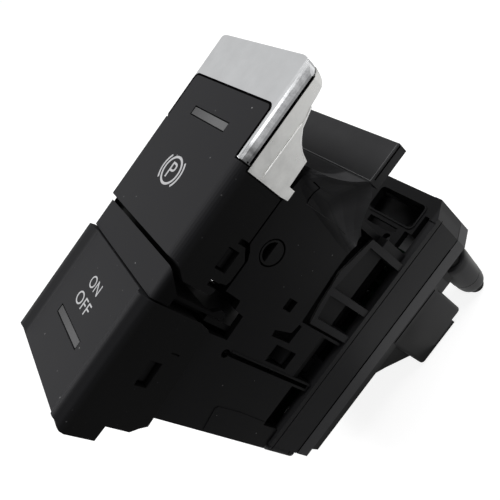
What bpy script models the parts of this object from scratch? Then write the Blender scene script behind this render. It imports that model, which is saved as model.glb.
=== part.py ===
"""Electric parking brake switch for a centre console.

X runs across the switch, Y towards the finger end, Z out of the button faces.
The flat back of the rear cover lies on Z = 0. A depth is measured down from
the flat button faces, which lie at FACE_Z.
"""
import math

import bmesh
import bpy
from mathutils import Vector

# Shared sizes in metres
FIT = 0.0003
BUTTON_HALF = 0.0147
EDGE_ROUND = 0.0017
CAP_WALL = 0.0018
ARC_STEPS = 6

# Brake button, along Y and down from the face
BRAKE_FOOT_Y = -0.0004
BRAKE_HEEL_Y = -0.0027
BRAKE_HEEL_DEPTH = 0.0044
BRAKE_SPLIT_Y = 0.0268
BRAKE_TIP_Y = 0.0352
BRAKE_SKIRT = 0.0106
TONGUE_DROP = 0.0016
TRIM_SKIN = 0.0006
TRIM_INNER_X = 0.0133
STRIP_END_Y = 0.0174
PLATE_SKIN = 0.00045
PLATE_END_Y = 0.0166
PLATE_TOP_DEPTH = 0.0022
PLATE_CREASE_DEPTH = 0.0051
GRIP_SKIN = 0.0011
LENS_LENGTH = 0.0125
LENS_WIDTH = 0.0018
LENS_FIT = 0.0002
LENS_FLANGE = 0.0012
LENS_PLUG = 0.0010
BRAKE_LENS_Y = 0.0204
SNAP_LENGTH = 0.0041
SNAP_HEIGHT = 0.0024
BRAKE_SNAP_Y = 0.0036
BRAKE_SNAP_DEPTH = 0.0090

# Pivot of the brake button
PIVOT_Y = 0.0085
PIVOT_DEPTH = 0.0164
PIVOT_RADIUS = 0.00235
PIVOT_PLAY = 0.0003
ROCKER_HALF = 0.0125
ROCKER_WALL = 0.0014
LEG_X = -0.0050
LEG_HALF = 0.0030
LEG_THICK = 0.0022

# Divider bar between the buttons
BAR_TOP_DEPTH = 0.0011
BAR_HIGH_Y = -0.0015
BAR_LOW_Y = -0.0072
BAR_BACK_DEPTH = 0.0050
BAR_LEG_DEPTH = 0.0150
BAR_LEG_WIDTH = 0.0014

# Lower button
HOLD_TOP_Y = -0.0075
HOLD_END_Y = -0.0328
HOLD_DISH = 0.0009
HOLD_RIM = 0.0002
HOLD_FOLD_X = 0.0113
HOLD_LIP_DEPTH = 0.0087
HOLD_SKIRT_TOP = 0.0148
HOLD_SKIRT_END = 0.0164
HOLD_SOLID_DEPTH = 0.0118
HOLD_FLAP = 0.0005
HOLD_LENS_Y = -0.0222
HOLD_SNAP_Y = -0.0189
HOLD_SNAP_DEPTH = 0.0096
HOLD_TRAVEL = 0.0012

# Housing
WALL_HALF = 0.0142
WALL = 0.0014
FLOOR_Y = -0.0263
WALL_FRONT_DEPTH = 0.0113
HOLD_WALL_DEPTH = 0.0133
FINGER_TOP_Y = 0.0232
SHELF_DEPTH = 0.0193
SHELF_THICK = 0.0023
SHELF_START_Y = 0.0270
SHELF_END_Y = 0.0346
WING_HALF = 0.0200
FLANGE_DEPTH = 0.0470
REAR_EDGE_DEPTH = 0.0318
WING_FOOT_DEPTH = REAR_EDGE_DEPTH + 0.0001
FRAME_HALF = 0.0146
FRAME_TOP_Y = 0.0211
FRAME_LOW_Y = 0.0014
FRAME_THICK = 0.0034
FRAME_RAKE = 0.0034
FRAME_RIM = 0.0011
RIB = 0.0015
RIB_Y = 0.0080
BAND_TOP_DEPTH = FLANGE_DEPTH - 0.0044
BAND_LOW_Y = -0.0213
SLOT_LOW_Y = -0.0110
SLOT_HIGH_Y = -0.0101
PANEL_STEP = 0.00016
CLIP_Y = -0.0071
CLIP_WIDTH = 0.0038
CLIP_DEPTH = 0.0309
CLIP_HEIGHT = 0.0061
CLIP_THICK = 0.0012
CLIP_SET_BACK = 0.0015
FLANGE_HALF = 0.0148
FLANGE_PLATE = 0.0016
FLANGE_HEIGHT = 0.0095
FLANGE_SPLIT_DEPTH = FLANGE_DEPTH + FLANGE_HEIGHT
PANEL_X0 = -0.0023
PANEL_X1 = 0.0107
PANEL_LOW_Y = 0.0283
PANEL_HIGH_Y = 0.0338
FLANGE_LOW_Y = -0.0250
FLANGE_HIGH_Y = 0.0326
FLANGE_END_Y = 0.0364
FLANGE_END_HALF = 0.0128
BEAD_RADIUS = 0.0012

# Rear cover, with its back on Z = 0
COVER_HEIGHT = 0.0085
FACE_Z = FLANGE_SPLIT_DEPTH + COVER_HEIGHT
COVER_WALL = 0.0014
COVER_CHAMFER = 0.0010
COVER_FLOOR = 0.0018
COVER_STEP = 0.0034
PANEL_INSET = 0.0012
PANEL_END_Y = 0.0240
PARTING = 0.0004
PLUG_X0 = -0.0046
PLUG_X1 = 0.0136
PLUG_Y0 = 0.0062
PLUG_Y1 = 0.0224
PLUG_DEPTH = 0.0135
PLUG_WALL = 0.0013
WEDGE_X0 = 0.0014
WEDGE_X1 = 0.0116
WEDGE_REACH = 0.0094
PEG_X = 0.0119
PEG_Y = 0.0293
PEG_RADIUS = 0.00215
PEG_LENGTH = 0.0132

# Circuit board and what stands on it
BOARD_RECESS = 0.0027
BOARD_DEPTH = FLANGE_SPLIT_DEPTH - BOARD_RECESS
BOARD_THICK = 0.0016
BOARD_END_Y = 0.0245
PIN_SIDE = 0.00064
PIN_PITCH = 0.0040
PIN_COLUMNS = 4
PIN_REACH = 0.0088
SLIDER_HEIGHT = 0.0028
SLIDER_HALF_Y = 0.0045
BASE_HEIGHT = 0.0012
BASE_HALF_Y = 0.0080
LEG_GRIP = 0.0010
LEG_DEPTH = BOARD_DEPTH - BASE_HEIGHT - 2 * FIT - LEG_GRIP
CONTACT_HALF_X = LEG_HALF + 0.0018
LAMP_SIDE = 0.0020
GUIDE_X = -0.0018
GUIDE_LENGTH = 0.0030
GUIDE_WIDTH = 0.0016
LAMP_HEIGHT = 0.0012
LAMP_X = 0.0098
DOME_RADIUS = 0.0042
DOME_HEIGHT = 0.0056
SPRING_RADIUS = 0.0021
SPRING_WIRE = 0.00045
SPRING_TURNS = 6
BRAKE_SPRING_Y = 0.0060
SPRING_LEDGE_DEPTH = 0.0215

SOFT_BLACK = ((0.019, 0.019, 0.0205), 0.6, 0.0)
MOULDED_BLACK = ((0.018, 0.018, 0.019), 0.42, 0.0)
COVER_BLACK = ((0.018, 0.018, 0.019), 0.45, 0.0)
CARRIER_BLACK = ((0.014, 0.014, 0.015), 0.5, 0.0)
BRIGHT_CHROME = ((0.82, 0.83, 0.85), 0.12, 1.0)
SATIN_CHROME = ((0.62, 0.62, 0.60), 0.35, 1.0)
LENS_GREY = ((0.18, 0.18, 0.18), 0.35, 0.0)
BOARD_GREEN = ((0.008, 0.045, 0.02), 0.5, 0.0)
PIN_TIN = ((0.7, 0.69, 0.66), 0.3, 1.0)
SPRING_STEEL = ((0.11, 0.11, 0.115), 0.4, 1.0)
LAMP_WHITE = ((0.8, 0.8, 0.75), 0.4, 0.0)
GUIDE_CLEAR = ((0.75, 0.77, 0.78), 0.15, 0.0)
DOME_GREY = ((0.28, 0.28, 0.29), 0.7, 0.0)
CONTACT_IVORY = ((0.6, 0.57, 0.48), 0.5, 0.0)


def level(depth):
    """Height above the back of the cover for a depth below the faces."""
    return FACE_Z - depth


def make_material(name, look):
    """Principled material from a colour, a roughness and a metallic value."""
    colour, roughness, metallic = look
    material = bpy.data.materials.new(name)
    material.use_nodes = True
    shader = material.node_tree.nodes["Principled BSDF"]
    shader.inputs["Base Color"].default_value = (*colour, 1.0)
    shader.inputs["Roughness"].default_value = roughness
    shader.inputs["Metallic"].default_value = metallic
    material.diffuse_color = (*colour, 1.0)
    return material


def make_object(name, bm):
    """Object from a closed bmesh, with its faces turned outward."""
    bmesh.ops.recalc_face_normals(bm, faces=bm.faces[:])
    mesh = bpy.data.meshes.new(name)
    bm.to_mesh(mesh)
    bm.free()
    obj = bpy.data.objects.new(name, mesh)
    bpy.context.scene.collection.objects.link(obj)
    return obj


def finish(obj, look, parent=None, smooth=32.0):
    """Give a piece its material, its shading and its carrier."""
    obj.data.materials.clear()
    obj.data.materials.append(make_material(obj.name, look))
    for polygon in obj.data.polygons:
        polygon.material_index = 0
    obj.data.shade_smooth()
    obj.data.set_sharp_from_angle(angle=math.radians(smooth))
    if parent is not None:
        obj.parent = parent
        obj.matrix_parent_inverse = parent.matrix_world.inverted()
    return obj


def loft(name, rings):
    """Closed solid through rings of points, one ring after another."""
    bm = bmesh.new()
    rows = [[bm.verts.new(point) for point in ring] for ring in rings]
    count = len(rows[0])
    for near, far in zip(rows, rows[1:]):
        for i in range(count):
            j = (i + 1) % count
            bm.faces.new((near[i], near[j], far[j], far[i]))
    bm.faces.new(rows[0])
    bm.faces.new(rows[-1])
    return make_object(name, bm)


def prism(name, axis, outline, low, high):
    """Straight solid with an outline across an axis.

    Outlines are (y, z) across X, (x, z) across Y and (x, y) across Z.
    """
    def place(a, b, c):
        return {"X": (c, a, b), "Y": (a, c, b), "Z": (a, b, c)}[axis]

    rings = [[place(a, b, c) for a, b in outline] for c in (low, high)]
    return loft(name, rings)


def side_prism(name, profile, x0, x1):
    """Straight solid across X from a profile of (y, depth) points."""
    outline = [(y, level(depth)) for y, depth in profile]
    return prism(name, "X", outline, min(x0, x1), max(x0, x1))


def block(name, x0, x1, y0, y1, depth0, depth1):
    """Box between two X, two Y and two depths."""
    low, high = sorted((x0, x1))
    return side_prism(name, [(y0, depth0), (y1, depth0), (y1, depth1), (y0, depth1)], low, high)


def rod(name, axis, centre, radius, low, high, sides=28):
    """Round bar along an axis."""
    outline = []
    for i in range(sides):
        angle = math.tau * (i + 0.5) / sides
        outline.append((centre[0] + radius * math.cos(angle), centre[1] + radius * math.sin(angle)))
    return prism(name, axis, outline, low, high)


def boolean(target, tools, operation):
    """Apply one exact Boolean per tool and remove the tools."""
    for tool in tools:
        modifier = target.modifiers.new("combine", "BOOLEAN")
        modifier.operation = operation
        modifier.solver = "EXACT"
        modifier.object = tool
        graph = bpy.context.evaluated_depsgraph_get()
        mesh = bpy.data.meshes.new_from_object(target.evaluated_get(graph))
        target.modifiers.clear()
        old = target.data
        target.data = mesh
        bpy.data.meshes.remove(old)
        spare = tool.data
        bpy.data.objects.remove(tool)
        bpy.data.meshes.remove(spare)
    target.data.name = target.name
    return target


def cut(target, *tools):
    return boolean(target, tools, "DIFFERENCE")


def fuse(target, *tools):
    return boolean(target, tools, "UNION")


def common(target, *tools):
    return boolean(target, tools, "INTERSECT")


def rounded(points, radii, steps=ARC_STEPS):
    """Outline with its corners rounded, each by its own radius."""
    result = []
    count = len(points)
    for i, (point, radius) in enumerate(zip(points, radii)):
        here = Vector(point)
        if radius <= 0.0:
            result.append(tuple(here))
            continue
        back = (Vector(points[i - 1]) - here).normalized()
        ahead = (Vector(points[(i + 1) % count]) - here).normalized()
        half = 0.5 * back.angle(ahead)
        reach = radius / math.tan(half)
        centre = here + (back + ahead).normalized() * (radius / math.sin(half))
        start = here + back * reach - centre
        end = here + ahead * reach - centre
        turn = start.angle(end)
        for step in range(steps + 1):
            t = step / steps
            arm = (start * math.sin((1 - t) * turn) + end * math.sin(t * turn)) / math.sin(turn)
            result.append(tuple(centre + arm))
    return result


def curve_through(points, steps=4):
    """Smooth row of points through the given ones, as a Catmull-Rom curve."""
    row = [Vector(p) for p in points]
    row = [row[0] * 2 - row[1]] + row + [row[-1] * 2 - row[-2]]
    result = []
    for a, b, c, d in zip(row, row[1:], row[2:], row[3:]):
        for step in range(steps):
            t = step / steps
            point = 0.5 * (b * 2 + (c - a) * t + (a * 2 - b * 5 + c * 4 - d) * t * t
                           + (b * 3 - a - c * 3 + d) * t ** 3)
            result.append(tuple(point))
    result.append(tuple(row[-2]))
    return result


def inset_row(points, distance):
    """Open row of points moved sideways, to the left of its run."""
    row = [Vector(p) for p in points]
    moved = []
    for i, point in enumerate(row):
        run = (row[min(i + 1, len(row) - 1)] - row[max(i - 1, 0)]).normalized()
        moved.append(tuple(point + Vector((-run.y, run.x)) * distance))
    return moved


def button_section(half, top, bottom, radius):
    """Rounded arch across X, from a top depth to a bottom depth."""
    points = [(-half, level(bottom)), (half, level(bottom)), (half, level(top)), (-half, level(top))]
    return rounded(points, [0.0, 0.0, radius, radius])


def grip_curve():
    """Outer line of the finger pull in (y, depth), from the tip to the foot."""
    tip = BRAKE_TIP_Y
    return curve_through([
        (tip - 0.0003, PLATE_TOP_DEPTH), (tip - 0.0013, 0.0038), (tip - 0.0030, 0.0044),
        (tip - 0.0058, 0.0048), (tip - 0.0084, 0.0058), (tip - 0.0107, 0.0079),
        (tip - 0.0117, BRAKE_SKIRT - 0.0004)], 4)


def brake_profile(front_y, foot_y, heel_y, skirt):
    """Side view of the brake button in (y, depth)."""
    return [(front_y, -0.001), (foot_y, -0.001), (foot_y, 0.0016), (heel_y, BRAKE_HEEL_DEPTH),
            (heel_y, skirt - 0.0004), (heel_y + 0.0006, skirt), (front_y, skirt)]


def lens_hole(y, half_length, half_width, depth):
    return block("lens_hole", -half_length, half_length, y - half_width, y + half_width, -0.001, depth)


def brake_cap(pivot):
    """Cap of the brake button: rounded arch with snap windows and tongues."""
    slope_y = BRAKE_SPLIT_Y - FIT
    cap = prism("brake_cap", "Y", button_section(BUTTON_HALF, 0.0, 0.016, EDGE_ROUND), -0.01, slope_y)
    common(cap, side_prism("side", brake_profile(0.04, BRAKE_FOOT_Y, BRAKE_HEEL_Y, BRAKE_SKIRT), -0.02,
                           0.02))
    corner = rounded([(-0.02, -0.02), (0.02, -0.02), (BUTTON_HALF, slope_y), (-BUTTON_HALF, slope_y)],
                     [0.0, 0.0, 0.0025, 0.0025])
    corner[0] = (-BUTTON_HALF, -0.02)
    corner[1] = (BUTTON_HALF, -0.02)
    common(cap, prism("corner", "Z", corner, 0.0, 0.08))
    for side in (-1, 1):
        fuse(cap, side_prism("tongue", [
            (-0.0003, BRAKE_SKIRT - 0.002), (0.0, BRAKE_SKIRT + 0.8 * TONGUE_DROP),
            (0.0010, BRAKE_SKIRT + TONGUE_DROP), (0.0048, BRAKE_SKIRT + TONGUE_DROP),
            (0.0068, BRAKE_SKIRT), (0.0068, BRAKE_SKIRT - 0.002)],
            side * (BUTTON_HALF - CAP_WALL), side * BUTTON_HALF))
    inner = brake_profile(BRAKE_SPLIT_Y - CAP_WALL, BRAKE_FOOT_Y + CAP_WALL, BRAKE_HEEL_Y + CAP_WALL, 0.03)
    inner[0] = (inner[0][0], CAP_WALL)
    inner[1] = (inner[1][0], CAP_WALL)
    inner[2] = (inner[2][0], CAP_WALL + 0.0009)
    cut(cap, side_prism("inside", inner, -BUTTON_HALF + CAP_WALL, BUTTON_HALF - CAP_WALL))
    grip = inset_row(grip_curve(), GRIP_SKIN + FIT)
    room = grip + [(grip[-1][0], 0.03), (0.05, 0.03), (0.05, grip[0][1])]
    cut(cap, side_prism("grip_room", room, -0.02, 0.02))
    for side in (-1, 1):
        cut(cap, block("slit", side * 0.010, side * 0.020, -0.0014, -0.0003, BRAKE_SKIRT - 0.0020, 0.03))
        cut(cap, block("slit", side * 0.010, side * 0.020, 0.0068, 0.0078, BRAKE_SKIRT - 0.0018, 0.03))
        cut(cap, block("window", side * 0.010, side * 0.020, BRAKE_SNAP_Y - SNAP_LENGTH / 2,
                       BRAKE_SNAP_Y + SNAP_LENGTH / 2, BRAKE_SNAP_DEPTH - SNAP_HEIGHT / 2,
                       BRAKE_SNAP_DEPTH + SNAP_HEIGHT / 2))
        cut(cap, block("plate_seat", side * (BUTTON_HALF - PLATE_SKIN), side * 0.02,
                       PLATE_END_Y - FIT, 0.05, PLATE_TOP_DEPTH - FIT, 0.03))
    seat = TRIM_SKIN + FIT
    strip = prism("strip_seat", "Y", button_section(0.02, -0.002, PLATE_TOP_DEPTH, 0.0), STRIP_END_Y - FIT,
                  0.05)
    cut(strip, prism("core", "Y", button_section(BUTTON_HALF - seat, seat, 0.01, EDGE_ROUND - seat), 0.0,
                     0.06))
    cut(strip, block("middle", -TRIM_INNER_X + FIT, TRIM_INNER_X - FIT, 0.0, 0.06, -0.003, 0.01))
    cut(cap, strip)
    cut(cap, lens_hole(BRAKE_LENS_Y, LENS_LENGTH / 2, LENS_WIDTH / 2, 0.01))
    return finish(cap, SOFT_BLACK, pivot)


def chrome_trim(pivot):
    """Bright band round the finger end, with a strip down each long edge."""
    trim = prism("chrome_trim", "Y", button_section(BUTTON_HALF, 0.0, PLATE_TOP_DEPTH - FIT, EDGE_ROUND),
                 STRIP_END_Y, BRAKE_TIP_Y)
    inner = button_section(BUTTON_HALF - TRIM_SKIN, TRIM_SKIN, 0.01, EDGE_ROUND - TRIM_SKIN)
    cut(trim, prism("core", "Y", inner, 0.0, BRAKE_TIP_Y - 2 * TRIM_SKIN))
    border = BRAKE_SPLIT_Y
    opening = rounded([(-TRIM_INNER_X, 0.0), (TRIM_INNER_X, 0.0), (TRIM_INNER_X, border),
                       (-TRIM_INNER_X, border)],
                      [0.0, 0.0, 0.0012, 0.0012])
    cut(trim, prism("opening", "Z", opening, 0.0, 0.08))
    ends = rounded([(-BUTTON_HALF - 0.001, 0.0), (BUTTON_HALF + 0.001, 0.0), (BUTTON_HALF, BRAKE_TIP_Y),
                    (-BUTTON_HALF, BRAKE_TIP_Y)], [0.0, 0.0, 0.0028, 0.0028])
    common(trim, prism("ends", "Z", ends, 0.0, 0.08))
    return finish(trim, BRIGHT_CHROME, pivot)


def pull_plate(pivot):
    """Satin finger pull: curved grip with a side plate on each flank."""
    outer = grip_curve()
    inner = inset_row(outer, GRIP_SKIN)
    inner[0] = (inner[0][0], PLATE_TOP_DEPTH)
    half = BUTTON_HALF + PLATE_SKIN * 0.4
    plate = side_prism("pull_plate", outer + inner[::-1], -half, half)
    flank = outer + [(0.0187, BRAKE_SKIRT - 0.0002), (0.0187, BRAKE_SKIRT + 0.0012),
                     (0.0168, BRAKE_SKIRT + 0.0012), (PLATE_END_Y, BRAKE_SKIRT - 0.0004),
                     (PLATE_END_Y, PLATE_TOP_DEPTH)]
    for side in (-1, 1):
        fuse(plate, side_prism("flank", flank, side * (BUTTON_HALF - PLATE_SKIN + FIT), side * half))
        cut(plate, block("crease", side * (half - 0.00012), side * 0.02, PLATE_END_Y - 0.001,
                         BRAKE_TIP_Y + 0.001,
                         -0.001, PLATE_CREASE_DEPTH))
    ends = rounded([(-half, 0.0), (half, 0.0), (half, BRAKE_TIP_Y), (-half, BRAKE_TIP_Y)],
                   [0.0, 0.0, 0.0028, 0.0028])
    common(plate, prism("ends", "Z", ends, 0.0, 0.08))
    return finish(plate, SATIN_CHROME, pivot)


def lens(name, y, surface, parent):
    """Indicator window: a plug in the cap with a flange behind it."""
    half = LENS_LENGTH / 2 - LENS_FIT
    wide = LENS_WIDTH / 2 - LENS_FIT
    piece = block(name, -half, half, y - wide, y + wide, surface + 0.00005, surface + CAP_WALL + LENS_PLUG)
    fuse(piece, block("flange", -half - LENS_FLANGE, half + LENS_FLANGE, y - wide - LENS_FLANGE,
                      y + wide + LENS_FLANGE, surface + CAP_WALL + LENS_FIT,
                      surface + CAP_WALL + LENS_FLANGE))
    return finish(piece, LENS_GREY, parent)


def brake_rocker(pivot):
    """Carrier in the brake button, on two bosses, with a leg for the contacts."""
    low = -0.0004
    high = 0.0182
    plate_depth = 0.0046
    rocker = block("brake_rocker", -ROCKER_HALF, ROCKER_HALF, low, high, plate_depth,
                   plate_depth + ROCKER_WALL)
    cheek = [(low, plate_depth), (high, plate_depth), (high, 0.0105), (0.0135, 0.0150), (0.0122, 0.0200),
             (0.0048, 0.0200), (0.0036, 0.0150), (low, 0.0105)]
    for side in (-1, 1):
        fuse(rocker, side_prism("cheek", cheek, side * (ROCKER_HALF - ROCKER_WALL), side * ROCKER_HALF))
        boss = rod("boss", "X", (PIVOT_Y, level(PIVOT_DEPTH)), PIVOT_RADIUS,
                   *sorted((side * (ROCKER_HALF - 0.0004), side * (WALL_HALF - 0.0001))))
        fuse(rocker, boss)
        recess = rod("recess", "X", (PIVOT_Y, level(PIVOT_DEPTH)), PIVOT_RADIUS - 0.0004,
                     *sorted((side * (ROCKER_HALF - 0.004), side * 0.02)))
        cut(recess, block("lower_half", side * 0.005, side * 0.03, 0.0, 0.02, PIVOT_DEPTH - 0.0002, 0.03))
        cut(rocker, recess)
        reach = BUTTON_HALF - 0.0010
        nib = prism("nib", "Y", [
            (side * (ROCKER_HALF - 0.0005), level(BRAKE_SNAP_DEPTH - SNAP_HEIGHT / 2 + FIT)),
            (side * (ROCKER_HALF + 0.0004), level(BRAKE_SNAP_DEPTH - SNAP_HEIGHT / 2 + FIT)),
            (side * reach, level(BRAKE_SNAP_DEPTH + 0.0002)),
            (side * reach, level(BRAKE_SNAP_DEPTH + SNAP_HEIGHT / 2 - FIT)),
            (side * (ROCKER_HALF - 0.0005), level(BRAKE_SNAP_DEPTH + SNAP_HEIGHT / 2 - FIT))],
            BRAKE_SNAP_Y - SNAP_LENGTH / 2 + FIT, BRAKE_SNAP_Y + SNAP_LENGTH / 2 - FIT)
        fuse(rocker, nib)
        for y in (0.0040, 0.0140):
            fuse(rocker, block("pad", side * 0.0085, side * 0.0100, y, y + 0.0015,
                               CAP_WALL + FIT, plate_depth + 0.0004))
    leg = side_prism("leg", rounded([
        (PIVOT_Y - LEG_THICK, plate_depth + 0.0005), (PIVOT_Y + LEG_THICK, plate_depth + 0.0005),
        (PIVOT_Y + LEG_THICK / 2, LEG_DEPTH), (PIVOT_Y - LEG_THICK / 2, LEG_DEPTH)],
        [0.0, 0.0, LEG_THICK * 0.45, LEG_THICK * 0.45]), LEG_X - LEG_HALF, LEG_X + LEG_HALF)
    fuse(rocker, leg)
    for y in (PIVOT_Y - BRAKE_SPRING_Y, PIVOT_Y + BRAKE_SPRING_Y):
        stud = rod("stud", "Z", (0.0, y), SPRING_RADIUS - SPRING_WIRE - 0.0003,
                   level(plate_depth + 0.0035), level(plate_depth + 0.0005), 16)
        fuse(rocker, stud)
    return finish(rocker, CARRIER_BLACK, pivot)


def divider_bar():
    """Bar between the buttons, with a clip leg on each side."""
    half = BUTTON_HALF
    slope_end = BAR_HIGH_Y - 0.0034
    profile = [(BAR_HIGH_Y, -0.001), (BAR_HIGH_Y, BAR_TOP_DEPTH), (slope_end, BAR_BACK_DEPTH - 0.0001),
               (slope_end - 0.0004, BAR_BACK_DEPTH), (BAR_LOW_Y, BAR_BACK_DEPTH), (BAR_LOW_Y, -0.001)]
    bar = prism("divider_bar", "Y", button_section(half, BAR_TOP_DEPTH, 0.02, 0.0008), BAR_LOW_Y - 0.001,
                0.0)
    common(bar, side_prism("side", profile, -0.02, 0.02))
    leg_high = BAR_LOW_Y + 0.0020
    web = block("web", -ROCKER_HALF + 0.0005, ROCKER_HALF - 0.0005, BAR_LOW_Y + 0.0003, leg_high - 0.0003,
                BAR_BACK_DEPTH - 0.0005, HOLD_WALL_DEPTH)
    fuse(bar, web)
    for side in (-1, 1):
        outer = side * (WALL_HALF - 0.0002)
        fuse(bar, block("leg", side * (WALL_HALF - BAR_LEG_WIDTH), outer, leg_high - 0.0007, leg_high,
                        BAR_BACK_DEPTH - 0.0005, BAR_LEG_DEPTH))
        fuse(bar, side_prism("hook", [
            (leg_high - 0.0005, BAR_LEG_DEPTH - 0.0020), (leg_high + 0.0010, BAR_LEG_DEPTH - 0.0002),
            (leg_high + 0.0008, BAR_LEG_DEPTH + 0.0012), (leg_high - 0.0007, BAR_LEG_DEPTH + 0.0016)],
            side * (WALL_HALF - BAR_LEG_WIDTH), outer))
    return finish(bar, SOFT_BLACK)


def hold_section(top_shift, half, fold, bottom):
    """Dished face of the lower button across X, with a rim on each edge."""
    rim = half - 0.0009
    points = [(-half, level(bottom)), (half, level(bottom)), (half, level(EDGE_ROUND * 0.8 + top_shift)),
              (rim, level(-HOLD_RIM + top_shift)), (rim - 0.0009, level(-HOLD_RIM + top_shift)),
              (fold, level(HOLD_DISH + top_shift)), (-fold, level(HOLD_DISH + top_shift)),
              (-rim + 0.0009, level(-HOLD_RIM + top_shift)), (-rim, level(-HOLD_RIM + top_shift)),
              (-half, level(EDGE_ROUND * 0.8 + top_shift))]
    radii = [0.0, 0.0, 0.0012, 0.0008, 0.0010, 0.0015, 0.0015, 0.0010, 0.0008, 0.0012]
    return rounded(points, radii, 3)


def hold_side(offset):
    """Side view of the lower button in (y, depth), shrunk by an offset."""
    top = HOLD_TOP_Y - offset
    end = HOLD_END_Y + offset
    return [(top, -0.001), (top, HOLD_SKIRT_TOP - 0.0022), (top - 0.0006, HOLD_SKIRT_TOP),
            (-0.0167, HOLD_SKIRT_END - 0.0007), (-0.0279 + offset, HOLD_SKIRT_END),
            (-0.0287 + offset, HOLD_SKIRT_END - 0.0014), (-0.0298 + offset, HOLD_SKIRT_END - 0.0027),
            (-0.0298 + offset, HOLD_LIP_DEPTH + 0.0001), (end, HOLD_LIP_DEPTH), (end, 0.0029),
            (end + 0.0003, 0.0019), (end + 0.0008, 0.0012), (end + 0.0016, 0.0006), (end + 0.0022, -0.001)]


def hold_cap(carrier):
    """Cap of the lower button: dished face, snap windows and a thin skirt."""
    cap = prism("hold_cap", "Y", hold_section(0.0, BUTTON_HALF, HOLD_FOLD_X, 0.02), HOLD_END_Y - 0.001, 0.0)
    common(cap, side_prism("side", hold_side(0.0), -0.02, 0.02))
    inner_half = BUTTON_HALF - CAP_WALL
    roof = HOLD_DISH + CAP_WALL
    cut(cap, block("inside", -inner_half, inner_half, HOLD_END_Y + CAP_WALL, HOLD_TOP_Y - CAP_WALL,
                   roof, HOLD_LIP_DEPTH - CAP_WALL))
    cut(cap, block("inside", -inner_half, inner_half, -0.0298 + CAP_WALL, HOLD_TOP_Y - CAP_WALL, roof, 0.03))
    flap = BUTTON_HALF - HOLD_FLAP
    cut(cap, block("skirt_room", -flap, flap, -0.0298 + CAP_WALL, HOLD_TOP_Y + 0.001, HOLD_SOLID_DEPTH,
                   0.03))
    for side in (-1, 1):
        y = HOLD_SNAP_Y
        d = HOLD_SNAP_DEPTH
        cut(cap, side_prism("window", [
            (y + 0.0024, d - 0.0013), (y + 0.0025, d + 0.0012), (y - 0.0024, d + 0.0014),
            (y - 0.0025, d - 0.0011)],
            side * 0.010, side * 0.020))
        cut(cap, block("mark", side * (BUTTON_HALF - 0.0004), side * 0.02, -0.0142, -0.0139, 0.0110, 0.0127))
    cut(cap, lens_hole(HOLD_LENS_Y, LENS_LENGTH / 2, LENS_WIDTH / 2, 0.01))
    return finish(cap, SOFT_BLACK, carrier)


def hold_slider(carrier):
    """Carrier in the lower button, guided in the housing, with a dome stem."""
    top = HOLD_TOP_Y - CAP_WALL - FIT
    low = -0.0245
    plate = 0.0062
    slider = block("hold_slider", -ROCKER_HALF, ROCKER_HALF, low, top, plate, plate + ROCKER_WALL)
    for side in (-1, 1):
        fuse(slider, block("cheek", side * (ROCKER_HALF - ROCKER_WALL), side * ROCKER_HALF, low, top,
                           plate, 0.0190))
        y = HOLD_SNAP_Y
        d = HOLD_SNAP_DEPTH
        reach = BUTTON_HALF - 0.0010
        fuse(slider, side_prism("nib", [
            (y + 0.0020, d - 0.0008), (y + 0.0020, d + 0.0008), (y - 0.0020, d + 0.0010),
            (y - 0.0020, d - 0.0006)],
            side * (ROCKER_HALF - 0.0004), side * reach))
        for pad_y in (-0.0125, -0.0240):
            fuse(slider, block("pad", side * 0.0085, side * 0.0100, pad_y, pad_y + 0.0015,
                               HOLD_DISH + CAP_WALL + FIT, plate + 0.0004))
    stem_end = BOARD_DEPTH - DOME_HEIGHT - FIT
    fuse(slider, rod("stem", "Z", (0.0, HOLD_SNAP_Y + 0.0035), 0.0022, level(stem_end),
                     level(plate + 0.0005), 20))
    cut(slider, block("guide_room", GUIDE_X - GUIDE_LENGTH, GUIDE_X + GUIDE_LENGTH,
                      HOLD_LENS_Y - GUIDE_WIDTH, HOLD_LENS_Y + GUIDE_WIDTH, 0.0, 0.02))
    return finish(slider, CARRIER_BLACK, carrier)


def scoop_depths():
    """Depths at the start, a third and two thirds of the finger scoop."""
    start = WALL_FRONT_DEPTH + 0.0008
    run = SHELF_DEPTH - start
    return start, start + 0.32 * run, start + 0.68 * run


def finger_profile():
    """Scoop behind the brake button and the shelf under it, in (y, depth)."""
    top = FINGER_TOP_Y
    start, upper, lower = scoop_depths()
    outer = curve_through([(top, start), (top + 0.0006, upper), (top + 0.0020, lower),
                           (SHELF_START_Y, SHELF_DEPTH)], 3)
    under = SHELF_DEPTH + SHELF_THICK
    return outer + [(SHELF_END_Y, SHELF_DEPTH), (SHELF_END_Y, under), (top + 0.0021, under),
                    (top - 0.0004, under - 0.0016), (top - 0.0014, lower), (top - 0.0016, upper),
                    (top - 0.0016, start)]


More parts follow.
